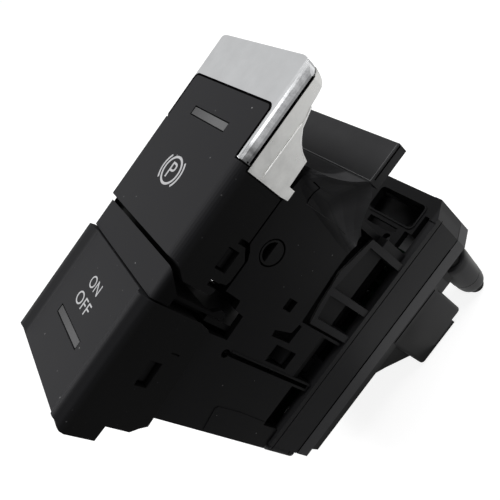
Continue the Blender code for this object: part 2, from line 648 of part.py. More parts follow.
def wing(side):
    """Flare from the side wall out to the shelf and back, as one loft."""
    top = FINGER_TOP_Y
    under = SHELF_DEPTH + SHELF_THICK
    start, upper, lower = scoop_depths()
    tail = WING_FOOT_DEPTH - under
    stations = [
        (start, WALL_HALF + 0.0002, top, top - 0.0030),
        (upper, WALL_HALF + 0.0026, top + 0.0006, top - 0.0040),
        (lower, WALL_HALF + 0.0044, top + 0.0020, top - 0.0046),
        (SHELF_DEPTH, WING_HALF, SHELF_START_Y, top - 0.0052),
        (under, WING_HALF, top + 0.0021, top - 0.0056),
        (under + 0.25 * tail, WING_HALF - 0.0014, top - 0.0002, top - 0.0060),
        (under + 0.55 * tail, WALL_HALF + 0.0028, top - 0.0024, top - 0.0066),
        (WING_FOOT_DEPTH, WALL_HALF + 0.0004, top - 0.0050, top - 0.0072)]
    depths = curve_through([(station[0], station[1]) for station in stations], 3)
    edges = curve_through([(station[2], station[3]) for station in stations], 3)
    inside = WALL_HALF - WALL
    rings = []
    for (depth, reach), (tip_y, base_y) in zip(depths, edges):
        ring = [(inside, base_y), (WALL_HALF, base_y)]
        for t in (0.3, 0.55, 0.8, 1.0):
            bow = t ** 2.2
            out = min(WALL_HALF + (reach - WALL_HALF) * bow, WING_HALF)
            ring.append((out, base_y + (tip_y - base_y) * t))
        ring.append((inside, tip_y))
        rings.append([(side * x, y, level(depth)) for x, y in ring])
    return loft("wing", rings)


def wall_profile():
    """Side wall of the housing in (y, depth)."""
    return [
        (FINGER_TOP_Y - 0.0008, WALL_FRONT_DEPTH + 0.0008), (0.0160, WALL_FRONT_DEPTH),
        (0.0078, WALL_FRONT_DEPTH), (0.0066, WALL_FRONT_DEPTH + 0.0010), (0.0052, WALL_FRONT_DEPTH + 0.0017),
        (-0.0009, WALL_FRONT_DEPTH + 0.0017), (-0.0012, 0.0169), (-0.0030, 0.0172), (-0.0034, 0.0196),
        (-0.0084, 0.0198), (-0.0086, HOLD_WALL_DEPTH), (FLOOR_Y, HOLD_WALL_DEPTH + 0.0029),
        (FLOOR_Y, FLANGE_DEPTH - FIT), (FRAME_LOW_Y - 2 * FIT, FLANGE_DEPTH - FIT),
        (FRAME_LOW_Y - 2 * FIT, REAR_EDGE_DEPTH + 0.0010), (0.0122, REAR_EDGE_DEPTH),
        (0.0202, REAR_EDGE_DEPTH),
        (FINGER_TOP_Y - 0.0008, 0.0290)]


def ribbed_frame(side):
    """Open frame with ribs between the side wall and the rear flange."""
    front = [(FRAME_TOP_Y, REAR_EDGE_DEPTH + 0.0028), (0.0124, REAR_EDGE_DEPTH + 0.0008),
             (0.0052, REAR_EDGE_DEPTH + 0.0018), (FRAME_LOW_Y, REAR_EDGE_DEPTH + 0.0027)]
    foot = [(FRAME_LOW_Y, FLANGE_DEPTH + 0.0004), (FRAME_TOP_Y, FLANGE_DEPTH + 0.0004)]
    inner = FRAME_HALF - FRAME_THICK
    frame = side_prism("frame", front + foot, side * inner, side * FRAME_HALF)
    for vertex in frame.data.vertices:
        if abs(vertex.co.x) < inner + FIT and vertex.co.z > level(FLANGE_DEPTH - FRAME_RAKE):
            vertex.co.z -= FRAME_RAKE
    middle = FLANGE_DEPTH - 0.33 * (FLANGE_DEPTH - REAR_EDGE_DEPTH)
    floor = side * (FRAME_HALF - 0.5 * FRAME_THICK)
    rim = REAR_EDGE_DEPTH + 0.0008 + FRAME_RIM
    for low, high, low_rise, high_rise in ((FRAME_LOW_Y + RIB, RIB_Y, 0.0016, 0.0006),
                                           (RIB_Y + RIB, FRAME_TOP_Y - RIB, 0.0004, 0.0018)):
        cut(frame, side_prism("bay", [(low, rim + low_rise), (high, rim + high_rise),
                                      (high, middle + 0.0002),
                                      (low, middle + 0.0002)], floor, side * 0.02))
        cut(frame, block("slot", side * 0.009, side * 0.02, low, high, middle, FLANGE_DEPTH + 0.0010))
    return frame


def flange_channels(side):
    """Slots in the flange plate beside the wall and under the open bays."""
    near = FRAME_HALF - FRAME_THICK - 0.0014
    rows = [(FRAME_LOW_Y + RIB, RIB_Y, near), (RIB_Y + RIB, FRAME_TOP_Y - RIB, near),
            (BAND_LOW_Y, CLIP_Y - CLIP_WIDTH / 2 - 0.0006, near),
            (CLIP_Y + CLIP_WIDTH / 2 + 0.0006, FRAME_LOW_Y - 0.0012, near),
            (FRAME_TOP_Y + 0.0021, PANEL_LOW_Y - 0.0010, near),
            (PANEL_LOW_Y - 0.0012, PANEL_HIGH_Y - 0.0018, PANEL_X1 + 0.0010)]
    return [block("channel", side * inner, side * (FLANGE_HALF - 0.0018), low, high, FLANGE_DEPTH - 0.0010,
                  FLANGE_DEPTH + FLANGE_PLATE + 0.0010) for low, high, inner in rows]


def panel_shape(inset):
    """Outline of the opening near the flange's finger end."""
    x0, x1 = PANEL_X0 + inset, PANEL_X1 - inset
    y0, y1 = PANEL_LOW_Y + inset, PANEL_HIGH_Y - inset
    return rounded([(x0, y0), (x1, y0), (x1, y1), (x0, y1)], [0.0009 - inset] * 4, 3)


def corner_bead(side):
    """Round bead with a groove, along the flange's corner at the low end."""
    place = (side * (FLANGE_HALF - BEAD_RADIUS), FLANGE_LOW_Y - 0.0004)
    bead = rod("corner_bead", "Z", place, BEAD_RADIUS, level(FLANGE_SPLIT_DEPTH - 0.0006),
               level(FLANGE_DEPTH + 0.0006), 20)
    collar = FLANGE_SPLIT_DEPTH - 0.0024
    ring = rod("ring", "Z", place, BEAD_RADIUS + 0.0004, level(collar + 0.0003), level(collar), 20)
    cut(ring, rod("core", "Z", place, BEAD_RADIUS - 0.0003, level(collar + 0.0010), level(collar - 0.0010),
                  20))
    cut(bead, ring)
    return bead


def flange_corner(side):
    """Low step on the front of the flange at its corner by the finger end."""
    outline = [(side * FLANGE_HALF, FLANGE_HIGH_Y - 0.0010), (side * FLANGE_HALF, FLANGE_HIGH_Y),
               (side * FLANGE_END_HALF, FLANGE_END_Y), (side * (FLANGE_END_HALF - 0.0018), FLANGE_END_Y),
               (side * (FLANGE_END_HALF - 0.0018), FLANGE_END_Y - 0.0016),
               (side * (FLANGE_HALF - 0.0016), FLANGE_HIGH_Y - 0.0010)]
    return prism("corner_step", "Z", outline, level(FLANGE_DEPTH + 0.0004), level(FLANGE_DEPTH - 0.0003))


def clip(side):
    """Springy tab of the base frame, with a nose at the rear of the clip window."""
    back = CLIP_SET_BACK if side > 0 else 0.0
    inner = side * (WALL_HALF - WALL - FIT - CLIP_THICK - back)
    outer = side * (WALL_HALF - WALL - FIT - back)
    low = CLIP_Y - CLIP_WIDTH / 2 + FIT
    high = CLIP_Y + CLIP_WIDTH / 2 + (FIT if side < 0 else -FIT)
    tab = block("tab", inner, outer, low, high, CLIP_DEPTH + FIT, FLANGE_DEPTH + 0.0004)
    rear = CLIP_DEPTH + CLIP_HEIGHT - FIT
    root = side * (WALL_HALF - WALL - FIT - 0.0004 - back)
    tip = side * (WALL_HALF - WALL + 0.0005)
    nose = prism("nose", "Y", [(root, level(rear - 0.0022)), (tip, level(rear - 0.0008)), (tip, level(rear)),
                               (root, level(rear))], low, CLIP_Y + CLIP_WIDTH / 2 - FIT)
    fuse(tab, nose)
    return tab


def flange_outline(inset):
    half = FLANGE_HALF - inset
    end = FLANGE_END_HALF - inset
    return [(half, FLANGE_LOW_Y + inset), (half, FLANGE_HIGH_Y), (end, FLANGE_END_Y - inset),
            (-end, FLANGE_END_Y - inset), (-half, FLANGE_HIGH_Y), (-half, FLANGE_LOW_Y + inset)]


def wall_openings(side):
    """Pivot hole, clip windows and slot of one side wall."""
    x0 = side * 0.009
    x1 = side * 0.020
    holes = [rod("pivot_hole", "X", (PIVOT_Y, level(PIVOT_DEPTH)), PIVOT_RADIUS + PIVOT_PLAY,
                 min(x0, x1), max(x0, x1), 28)]
    holes.append(block("clip_hole", x0, x1, 0.0012, 0.0036, 0.0263, 0.0286))
    holes.append(side_prism("notch", [
        (-0.0029, 0.0281), (-0.0020, 0.0323), (0.0002, 0.0327), (0.0, 0.0336), (-0.0040, 0.0335),
        (-0.0042, 0.0284)], x0, x1))
    holes.append(block("clip_window", x0, x1, CLIP_Y - CLIP_WIDTH / 2, CLIP_Y + CLIP_WIDTH / 2,
                       CLIP_DEPTH, CLIP_DEPTH + CLIP_HEIGHT))
    holes.append(block("slot", x0, x1, SLOT_LOW_Y, SLOT_HIGH_Y, 0.0215, FLANGE_DEPTH - 0.0010))
    holes.append(rod("slot_end", "X", (SLOT_LOW_Y + 0.0003, level(0.0215)), 0.0009, min(x0, x1), max(x0, x1),
                     16))
    for low, high, slope in ((BAND_LOW_Y, SLOT_LOW_Y - 0.0005, 0.0006),
                             (SLOT_HIGH_Y + 0.0005, FRAME_LOW_Y - 0.0012, 0.0024)):
        edge = side * WALL_HALF
        top = level(BAND_TOP_DEPTH)
        end = level(FLANGE_DEPTH + 0.0010)
        holes.append(prism("band", "Y", [
            (x0, end), (x1, end), (x1, top + slope + (x1 - edge) * side * slope / 0.0009),
            (edge, top + slope),
            (edge - side * 0.0009, top), (x0, top)], low, high))
    return holes


def wall_steps(side):
    """Low steps and the ridge that stand proud of one side wall."""
    x0 = side * (WALL_HALF - 0.0005)
    x1 = side * (WALL_HALF + PANEL_STEP)
    ridge = block("ridge", x0, x1, SLOT_HIGH_Y + 0.00002, SLOT_HIGH_Y + 0.0004, 0.0225, FLANGE_DEPTH - FIT)
    low_panel = side_prism("low_panel", [
        (FLOOR_Y + 0.0004, 0.0284), (-0.0212, 0.0276), (-0.0206, 0.0280), (-0.0203, 0.0340),
        (-0.0208, BAND_TOP_DEPTH + 0.0020), (BAND_LOW_Y - 0.0006, FLANGE_DEPTH - 0.0012),
        (FLOOR_Y + 0.0004, FLANGE_DEPTH - 0.0012)], x0, x1)
    wing_panel = side_prism("wing_panel", [
        (0.0216, 0.0157), (0.0186, 0.0160), (0.0183, REAR_EDGE_DEPTH - 0.0036),
        (0.0212, REAR_EDGE_DEPTH - 0.0036)], x0, x1)
    return [ridge, low_panel, wing_panel]


def housing():
    """Front shell of the housing: walls, finger shelf, wings and spring ledges."""
    inside = WALL_HALF - WALL
    body = side_prism("housing", wall_profile(), -WALL_HALF, WALL_HALF)
    shell = [(FINGER_TOP_Y + 0.01, -0.01), (FINGER_TOP_Y + 0.01, FLANGE_DEPTH + 0.01),
             (FLOOR_Y + WALL, FLANGE_DEPTH + 0.01), (FLOOR_Y + WALL, -0.01)]
    cut(body, side_prism("inside", shell, -inside, inside))
    fuse(body, side_prism("finger", finger_profile(), -WALL_HALF + 0.0002, WALL_HALF - 0.0002))
    under = SHELF_DEPTH + SHELF_THICK
    fuse(body, block("end_wall", -inside - 0.0004, inside + 0.0004, FINGER_TOP_Y - 0.0016,
                     FINGER_TOP_Y - 0.0002, under - 0.0026, REAR_EDGE_DEPTH - 0.0008))
    for side in (-1, 1):
        fuse(body, block("shelf_end", side * 0.012, side * WING_HALF, SHELF_START_Y - 0.00005, SHELF_END_Y,
                         SHELF_DEPTH, under))
        fuse(body, wing(side))
    for y in (PIVOT_Y - BRAKE_SPRING_Y, PIVOT_Y + BRAKE_SPRING_Y):
        fuse(body, block("ledge", -inside - 0.0004, inside + 0.0004, y - 0.0030, y + 0.0030,
                         SPRING_LEDGE_DEPTH, SPRING_LEDGE_DEPTH + WALL))
        fuse(body, rod("stud", "Z", (0.0, y), SPRING_RADIUS - SPRING_WIRE - 0.0003,
                       level(SPRING_LEDGE_DEPTH + 0.0002), level(SPRING_LEDGE_DEPTH - 0.0022), 16))
    fuse(body, block("middle_wall", -inside - 0.0004, inside + 0.0004, BAR_LOW_Y - 0.0001,
                     BAR_LOW_Y + 0.0010,
                     HOLD_WALL_DEPTH + FIT, REAR_EDGE_DEPTH - 0.0018))
    fuse(body, block("light_stop", -inside - 0.0004, -inside + 0.0033, BAR_LOW_Y + 0.0008,
                     BAR_LOW_Y + 0.0017,
                     REAR_EDGE_DEPTH - 0.0078, REAR_EDGE_DEPTH - 0.0018))
    for side in (-1, 1):
        fuse(body, *wall_steps(side))
        cut(body, *wall_openings(side))
    return finish(body, MOULDED_BLACK)


def base_frame():
    """Rear half of the housing: flange with a rim, ribbed frames and clips."""
    body = prism("base_frame", "Z", flange_outline(0.0), level(FLANGE_SPLIT_DEPTH), level(FLANGE_DEPTH))
    cut(body, prism("rim_inside", "Z", flange_outline(COVER_WALL), 0.0, level(FLANGE_DEPTH + FLANGE_PLATE)))
    for side in (-1, 1):
        fuse(body, ribbed_frame(side))
        fuse(body, flange_corner(side))
        cut(body, *flange_channels(side))
        fuse(body, clip(side))
        fuse(body, corner_bead(side))
    inner = FRAME_HALF - FRAME_THICK
    fuse(body, block("end_wall", -inner - 0.0004, inner + 0.0004, FRAME_TOP_Y - 0.0016 + 0.0021,
                     FRAME_TOP_Y + 0.0019, REAR_EDGE_DEPTH + 0.0004, FLANGE_DEPTH + 0.0004))
    for side in (-1, 1):
        fuse(body, block("end_return", side * (inner - 0.0002), side * (FRAME_HALF - 0.0010),
                         FRAME_TOP_Y - 0.0002, FRAME_TOP_Y + 0.0019, FLANGE_DEPTH - 0.0075,
                         FLANGE_DEPTH + 0.0004))
    fuse(body, block("light_wall", -inner + 0.0015, -inner + 0.0025, BAND_LOW_Y, SLOT_LOW_Y,
                     BAND_TOP_DEPTH - 0.0060,
                     FLANGE_DEPTH + 0.0004))
    fuse(body, prism("panel_rim", "Z", panel_shape(-0.0004), level(FLANGE_DEPTH + 0.0004),
                     level(FLANGE_DEPTH - 0.0003)))
    cut(body, prism("panel", "Z", panel_shape(0.0), level(FLANGE_DEPTH + 0.0060),
                    level(FLANGE_DEPTH - 0.0010)))
    cut(body, block("panel_slot", -0.0005, 0.0079, 0.0255, 0.0270, FLANGE_DEPTH - 0.0010,
                    FLANGE_DEPTH + 0.0060))
    cut(body, rod("round_hole", "Z", (0.0068, 0.0242), 0.0010, level(FLANGE_DEPTH + 0.0060),
                  level(FLANGE_DEPTH - 0.0010), 20))
    throw = LEG_DEPTH * math.tan(math.radians(4.0))
    cut(body, block("leg_room", LEG_X - LEG_HALF - 0.0010, LEG_X + LEG_HALF + 0.0010,
                    PIVOT_Y - LEG_THICK - throw, PIVOT_Y + LEG_THICK + throw,
                    FLANGE_DEPTH - 0.0010, FLANGE_DEPTH + 0.0060))
    for y in (BRAKE_LENS_Y, HOLD_LENS_Y):
        cut(body, block("guide_hole", GUIDE_X - GUIDE_LENGTH / 2 - FIT, GUIDE_X + GUIDE_LENGTH / 2 + FIT,
                        y - GUIDE_WIDTH / 2 - FIT, y + GUIDE_WIDTH / 2 + FIT,
                        FLANGE_DEPTH - 0.0010, FLANGE_DEPTH + 0.0060))
    cut(body, rod("stem_hole", "Z", (0.0, HOLD_SNAP_Y + 0.0035), DOME_RADIUS + FIT,
                  level(FLANGE_DEPTH + 0.0060), level(FLANGE_DEPTH - 0.0010), 28))
    for side in (-1, 1):
        cut(body, block("seam_groove", side * (FLANGE_HALF - 0.0002), side * 0.02, FLANGE_LOW_Y - 0.002,
                        FLANGE_HIGH_Y + 0.002, FLANGE_DEPTH + 0.0013, FLANGE_DEPTH + 0.0016))
    return finish(body, MOULDED_BLACK)


def panel_outline(inset):
    """Raised flat panel on the back of the cover."""
    half = FLANGE_HALF - inset
    return [(half, FLANGE_LOW_Y + inset), (half, PANEL_END_Y - inset), (-half, PANEL_END_Y - inset),
            (-half, FLANGE_LOW_Y + inset)]


def plug_shroud(cover):
    """Keyed socket for the plug, with a sloped rib block on its low side."""
    outline = rounded([(PLUG_X0, PLUG_Y0), (PLUG_X1, PLUG_Y0), (PLUG_X1, PLUG_Y1), (PLUG_X0, PLUG_Y1)],
                      [0.0010] * 4, 4)
    fuse(cover, prism("shroud", "Z", outline, -PLUG_DEPTH, COVER_FLOOR - 0.0002))
    low = PLUG_Y0 - WEDGE_REACH
    wedge = side_prism("wedge", [
        (PLUG_Y0 + 0.0005, FACE_Z - 0.0004), (low, FACE_Z - 0.0004), (low, FACE_Z + 0.0014),
        (low + 0.0039, FACE_Z + 0.0047), (PLUG_Y0 + 0.0005, FACE_Z + PLUG_DEPTH - 0.0028)], WEDGE_X0,
        WEDGE_X1)
    rib = 0.0014
    bay = (WEDGE_X1 - WEDGE_X0 - 3 * rib) / 2
    for x in (WEDGE_X0 + rib, WEDGE_X0 + 2 * rib + bay):
        cut(wedge, side_prism("wedge_bay", [
            (PLUG_Y0 - 0.0010, FACE_Z + 0.0008), (low - 0.0010, FACE_Z + 0.0008),
            (low - 0.0010, FACE_Z + 0.02),
            (PLUG_Y0 - 0.0010, FACE_Z + 0.02)], x, x + bay))
    fuse(cover, wedge)
    cavity = [(PLUG_X0 + PLUG_WALL, PLUG_Y0 + PLUG_WALL), (PLUG_X1 - PLUG_WALL, PLUG_Y0 + PLUG_WALL),
              (PLUG_X1 - PLUG_WALL, PLUG_Y1 - PLUG_WALL), (PLUG_X0 + PLUG_WALL, PLUG_Y1 - PLUG_WALL)]
    cut(cover, prism("cavity", "Z", cavity, -0.02, -0.0002))
    step = block("mouth_step", PLUG_X1 - 0.0030, PLUG_X1 + 0.001, PLUG_Y1 - 0.0034, PLUG_Y1 + 0.001,
                 FACE_Z + PLUG_DEPTH - 0.0016, FACE_Z + PLUG_DEPTH + 0.01)
    cut(cover, step)


def locating_peg(cover):
    """Round peg with a domed end, with a small block at its foot."""
    root = COVER_STEP + 0.0004
    fuse(cover, rod("peg", "Z", (PEG_X, PEG_Y), PEG_RADIUS, -PEG_LENGTH, root, 24))
    steps = 4
    for i in range(steps):
        turn = math.radians(80) * (i + 1) / steps
        rise = PEG_RADIUS * 0.55 * math.sin(turn)
        fuse(cover, rod("tip", "Z", (PEG_X, PEG_Y), PEG_RADIUS * math.cos(turn), -PEG_LENGTH - rise,
                        -PEG_LENGTH + 0.0003, 24))
    fuse(cover, block("peg_foot", PLUG_X1 - 0.0060, PLUG_X1 - 0.0002, PLUG_Y1 - 0.0002, PEG_Y - 0.0026,
                      FACE_Z - COVER_STEP - 0.0004, FACE_Z + 0.0016))


def rear_cover():
    """Cover behind the flange, with the plug shroud and the locating peg."""
    front = level(FLANGE_SPLIT_DEPTH + PARTING)
    cover = loft("rear_cover", [
        [(x, y, front) for x, y in flange_outline(0.0)],
        [(x, y, COVER_STEP + COVER_CHAMFER) for x, y in flange_outline(0.0)],
        [(x, y, COVER_STEP) for x, y in flange_outline(COVER_CHAMFER)]])
    fuse(cover, loft("panel", [
        [(x, y, COVER_STEP + 0.0003) for x, y in panel_outline(PANEL_INSET)],
        [(x, y, 0.0) for x, y in panel_outline(PANEL_INSET + 0.0003)]]))
    cut(cover, prism("tray", "Z", flange_outline(COVER_WALL), COVER_STEP + COVER_FLOOR, front + 0.01))
    cut(cover, prism("tray", "Z", panel_outline(PANEL_INSET + COVER_WALL), COVER_FLOOR, front + 0.01))
    plug_shroud(cover)
    locating_peg(cover)
    for x, y in pin_places():
        cut(cover, block("pin_hole", x - PIN_SIDE / 2 - FIT, x + PIN_SIDE / 2 + FIT, y - PIN_SIDE / 2 - FIT,
                         y + PIN_SIDE / 2 + FIT, FACE_Z - 0.01, FACE_Z + 0.001))
    for x, y in post_places():
        fuse(cover, rod("post", "Z", (x, y), 0.0013, COVER_FLOOR - 0.0004,
                        level(BOARD_DEPTH + BOARD_THICK + FIT), 16))
    return finish(cover, COVER_BLACK)


def pin_places():
    """Two rows of pins in the middle of the plug shroud."""
    middle_x = (PLUG_X0 + PLUG_X1) / 2
    middle_y = (PLUG_Y0 + PLUG_Y1) / 2
    places = []
    for row in (-1, 1):
        for i in range(PIN_COLUMNS):
            offset = (i - (PIN_COLUMNS - 1) / 2) * PIN_PITCH * 0.8
            places.append((middle_x + row * PIN_PITCH / 2, middle_y + offset))
    return places


def post_places():
    """Posts of the cover that carry the circuit board."""
    x = FLANGE_HALF - 0.0040
    high = PANEL_END_Y - 0.0050
    return [(-x, FLANGE_LOW_Y + 0.0050), (x, FLANGE_LOW_Y + 0.0050), (-x, high), (-x, 0.0), (x, -0.0050)]


def connector_pins():
    """Square pins from the board through the cover into the shroud."""
    pins = []
    for i, (x, y) in enumerate(pin_places()):
        half = PIN_SIDE / 2
        pin = block(f"pin_{i + 1}", x - half, x + half, y - half, y + half,
                    BOARD_DEPTH - 0.0010, FACE_Z + PIN_REACH)
        pins.append(finish(pin, PIN_TIN))
    return pins


def circuit_board():
    half = FLANGE_HALF - COVER_WALL - FIT
    low = FLANGE_LOW_Y + COVER_WALL + FIT
    outline = [(half, low), (half, BOARD_END_Y), (-half, BOARD_END_Y), (-half, low)]
    board = prism("circuit_board", "Z", outline, level(BOARD_DEPTH + BOARD_THICK), level(BOARD_DEPTH))
    for x, y in pin_places():
        cut(board, block("hole", x - PIN_SIDE / 2 - FIT, x + PIN_SIDE / 2 + FIT, y - PIN_SIDE / 2 - FIT,
                         y + PIN_SIDE / 2 + FIT, BOARD_DEPTH - 0.001, BOARD_DEPTH + BOARD_THICK + 0.001))
    return finish(board, BOARD_GREEN)


def contact_parts(carriage):
    """Fixed contact block on the board and the slide that the leg moves."""
    top = BOARD_DEPTH - FIT
    base_top = top - BASE_HEIGHT
    base = block("contact_base", LEG_X - CONTACT_HALF_X, LEG_X + CONTACT_HALF_X,
                 PIVOT_Y - BASE_HALF_Y, PIVOT_Y + BASE_HALF_Y, base_top, top)
    finish(base, CONTACT_IVORY)
    low = base_top - FIT
    slide = block("contact_slider", LEG_X - CONTACT_HALF_X, LEG_X + CONTACT_HALF_X,
                  PIVOT_Y - SLIDER_HALF_Y, PIVOT_Y + SLIDER_HALF_Y, low - SLIDER_HEIGHT, low)
    cut(slide, block("slot", LEG_X - LEG_HALF - FIT, LEG_X + LEG_HALF + FIT,
                     PIVOT_Y - LEG_THICK / 2 - 0.0004,
                     PIVOT_Y + LEG_THICK / 2 + 0.0004, 0.0, LEG_DEPTH + 0.0004))
    finish(slide, CARRIER_BLACK, carriage)


def lamps():
    places = [(GUIDE_X, BRAKE_LENS_Y), (GUIDE_X, HOLD_LENS_Y), (LAMP_X, PIVOT_Y), (LAMP_X, HOLD_SNAP_Y)]
    for i, (x, y) in enumerate(places):
        lamp = block(f"lamp_{i + 1}", x - LAMP_SIDE / 2, x + LAMP_SIDE / 2, y - LAMP_SIDE / 2,
                     y + LAMP_SIDE / 2,
                     BOARD_DEPTH - FIT - LAMP_HEIGHT, BOARD_DEPTH - FIT)
        finish(lamp, LAMP_WHITE)


def light_guide(name, y, top):
    """Clear bar from a lamp up to just under an indicator window."""
    foot = BOARD_DEPTH - 2 * FIT - LAMP_HEIGHT
    guide = block(name, GUIDE_X - GUIDE_LENGTH / 2, GUIDE_X + GUIDE_LENGTH / 2, y - GUIDE_WIDTH / 2,
                  y + GUIDE_WIDTH / 2, top, foot)
    return finish(guide, GUIDE_CLEAR)


def hold_dome():
    """Silicone dome under the stem, a turned shell that is open to the board."""
    y = HOLD_SNAP_Y + 0.0035
    foot = level(BOARD_DEPTH - FIT)
    height = DOME_HEIGHT - 2 * FIT
    outer = [(DOME_RADIUS, 0.0), (DOME_RADIUS, 0.0008), (0.8 * DOME_RADIUS, 0.0012),
             (0.55 * DOME_RADIUS, height - 0.0010), (0.5 * DOME_RADIUS, height)]
    inner = [(0.46 * DOME_RADIUS, height - 0.0012), (0.72 * DOME_RADIUS, 0.0006), (0.74 * DOME_RADIUS, 0.0)]
    sides = 20
    rings = []
    for radius, z in outer + [(0.12 * DOME_RADIUS, height)]:
        rings.append([(radius * math.cos(math.tau * i / sides), y + radius * math.sin(math.tau * i / sides),
                       foot + z)
                      for i in range(sides)])
    bm = bmesh.new()
    rows = [[bm.verts.new(p) for p in ring] for ring in rings]
    inner_rows = []
    for radius, z in [(0.12 * DOME_RADIUS, height - 0.0012)] + inner:
        inner_rows.append([bm.verts.new((radius * math.cos(math.tau * i / sides),
                                         y + radius * math.sin(math.tau * i / sides), foot + z))
                           for i in range(sides)])
    rows += inner_rows
    for near, far in zip(rows, rows[1:] + rows[:1]):
        for i in range(sides):
            j = (i + 1) % sides
            bm.faces.new((near[i], near[j], far[j], far[i]))
    return finish(make_object("hold_dome", bm), DOME_GREY)


def coil_spring(name, y, top, bottom):
    """Round wire spring between two depths, with closed ends."""
    low = level(bottom) + FIT + SPRING_WIRE
    high = level(top) - FIT - SPRING_WIRE
    steps = SPRING_TURNS * 16
    curve = bpy.data.curves.new(name, "CURVE")
    curve.dimensions = "3D"
    curve.bevel_depth = SPRING_WIRE
    curve.bevel_resolution = 1
    curve.use_fill_caps = True
    spline = curve.splines.new("POLY")
    spline.points.add(steps)
    for i in range(steps + 1):
        t = i / steps
        angle = math.tau * SPRING_TURNS * t
        spline.points[i].co = (SPRING_RADIUS * math.cos(angle), y + SPRING_RADIUS * math.sin(angle),
                               low + (high - low) * t, 1.0)
    temporary = bpy.data.objects.new(name + "_path", curve)
    bpy.context.scene.collection.objects.link(temporary)
    graph = bpy.context.evaluated_depsgraph_get()
    mesh = bpy.data.meshes.new_from_object(temporary.evaluated_get(graph))
    bpy.data.objects.remove(temporary)
    bpy.data.curves.remove(curve)
    obj = bpy.data.objects.new(name, mesh)
    bpy.context.scene.collection.objects.link(obj)
    return finish(obj, SPRING_STEEL, None, 60.0)


def make_axis(name, location):
    """Empty on a joint, which carries the pieces that move with it."""
    empty = bpy.data.objects.new(name, None)
    empty.empty_display_size = 0.005
    empty.location = location
    bpy.context.scene.collection.objects.link(empty)
    bpy.context.view_layer.update()
    return empty


def clear_scene():
    for obj in list(bpy.data.objects):
        bpy.data.objects.remove(obj)


clear_scene()
brake_axis = make_axis("brake_axis", (0.0, PIVOT_Y, level(PIVOT_DEPTH)))
hold_axis = make_axis("hold_axis", (0.0, HOLD_SNAP_Y + 0.0035, level(0.0)))
contact_axis = make_axis("contact_axis", (0.0, PIVOT_Y, level(LEG_DEPTH)))

housing()
base_frame()
rear_cover()
divider_bar()
brake_cap(brake_axis)
chrome_trim(brake_axis)
pull_plate(brake_axis)
lens("brake_lens", BRAKE_LENS_Y, 0.0, brake_axis)
brake_rocker(brake_axis)
hold_cap(hold_axis)
lens("hold_lens", HOLD_LENS_Y, HOLD_DISH, hold_axis)
hold_slider(hold_axis)
circuit_board()
contact_parts(contact_axis)
lamps()
light_guide("brake_light_guide", BRAKE_LENS_Y, CAP_WALL + 0.0026)
light_guide("hold_light_guide", HOLD_LENS_Y, HOLD_DISH + CAP_WALL + 0.0012 + HOLD_TRAVEL + 0.0004)
hold_dome()
coil_spring("brake_spring_low", PIVOT_Y - BRAKE_SPRING_Y, 0.0060, SPRING_LEDGE_DEPTH)
coil_spring("brake_spring_high", PIVOT_Y + BRAKE_SPRING_Y, 0.0060, SPRING_LEDGE_DEPTH)
connector_pins()
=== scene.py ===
"""Electric parking brake switch for a centre console, dressed for a studio view."""
import math

import bmesh
import bpy
from mathutils import Matrix, Quaternion, Vector


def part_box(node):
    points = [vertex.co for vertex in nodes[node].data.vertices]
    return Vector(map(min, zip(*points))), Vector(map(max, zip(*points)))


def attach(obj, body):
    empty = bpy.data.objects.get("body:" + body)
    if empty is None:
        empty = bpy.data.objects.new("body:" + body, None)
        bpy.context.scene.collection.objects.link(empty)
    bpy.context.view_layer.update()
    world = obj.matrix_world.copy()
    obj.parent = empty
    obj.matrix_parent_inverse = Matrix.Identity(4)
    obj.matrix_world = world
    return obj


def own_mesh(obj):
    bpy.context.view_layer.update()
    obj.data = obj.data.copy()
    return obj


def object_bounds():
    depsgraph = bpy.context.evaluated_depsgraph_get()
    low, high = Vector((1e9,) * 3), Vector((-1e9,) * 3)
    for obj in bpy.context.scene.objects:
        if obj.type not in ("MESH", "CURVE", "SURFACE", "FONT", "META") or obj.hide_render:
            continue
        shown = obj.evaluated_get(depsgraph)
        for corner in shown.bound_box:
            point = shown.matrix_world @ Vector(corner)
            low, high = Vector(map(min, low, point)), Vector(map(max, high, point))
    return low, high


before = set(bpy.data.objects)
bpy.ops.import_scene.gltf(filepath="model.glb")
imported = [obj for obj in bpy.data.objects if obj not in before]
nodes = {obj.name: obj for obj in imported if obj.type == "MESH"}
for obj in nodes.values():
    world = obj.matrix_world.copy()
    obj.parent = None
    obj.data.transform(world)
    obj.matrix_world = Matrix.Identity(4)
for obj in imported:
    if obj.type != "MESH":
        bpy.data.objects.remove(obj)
cad_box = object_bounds()

# Camera
# The switch is seen from above its right wall. The camera stands close by, so
# the near buttons look larger than the flange.
face_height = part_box("brake_cap")[1].z
camera_data = bpy.data.cameras.new("camera")
camera_data.sensor_width = 36.0
camera_data.lens = 38.63
camera_data.clip_start = 0.005
camera_data.clip_end = 20.0
camera = bpy.data.objects.new("camera", camera_data)
bpy.context.scene.collection.objects.link(camera)
camera_turn = Matrix(((0.49692, 0.58608, -0.63999),
                      (-0.42209, 0.80761, 0.41184),
                      (0.75823, 0.06548, 0.64869)))
camera_place = camera_turn.transposed().to_4x4()
camera_place.translation = (0.07988, 0.01259, 0.04419 + face_height)
camera.matrix_world = camera_place
bpy.context.scene.camera = camera

# Table
# A table that shows white to the camera and keeps the shadow. Light that
# bounces off it meets dark grey, so the black plastic stays black.
table_reach = 3.0
table_gap = 0.0002
table_height = cad_box[0].z - table_gap
table_corners = [(across * table_reach, along * table_reach, table_height)
                 for across, along in ((-1, -1), (1, -1), (1, 1), (-1, 1))]
table_data = bpy.data.meshes.new("table")
table_data.from_pydata(table_corners, [], [(0, 1, 2, 3)])
table = bpy.data.objects.new("table", table_data)
bpy.context.scene.collection.objects.link(table)


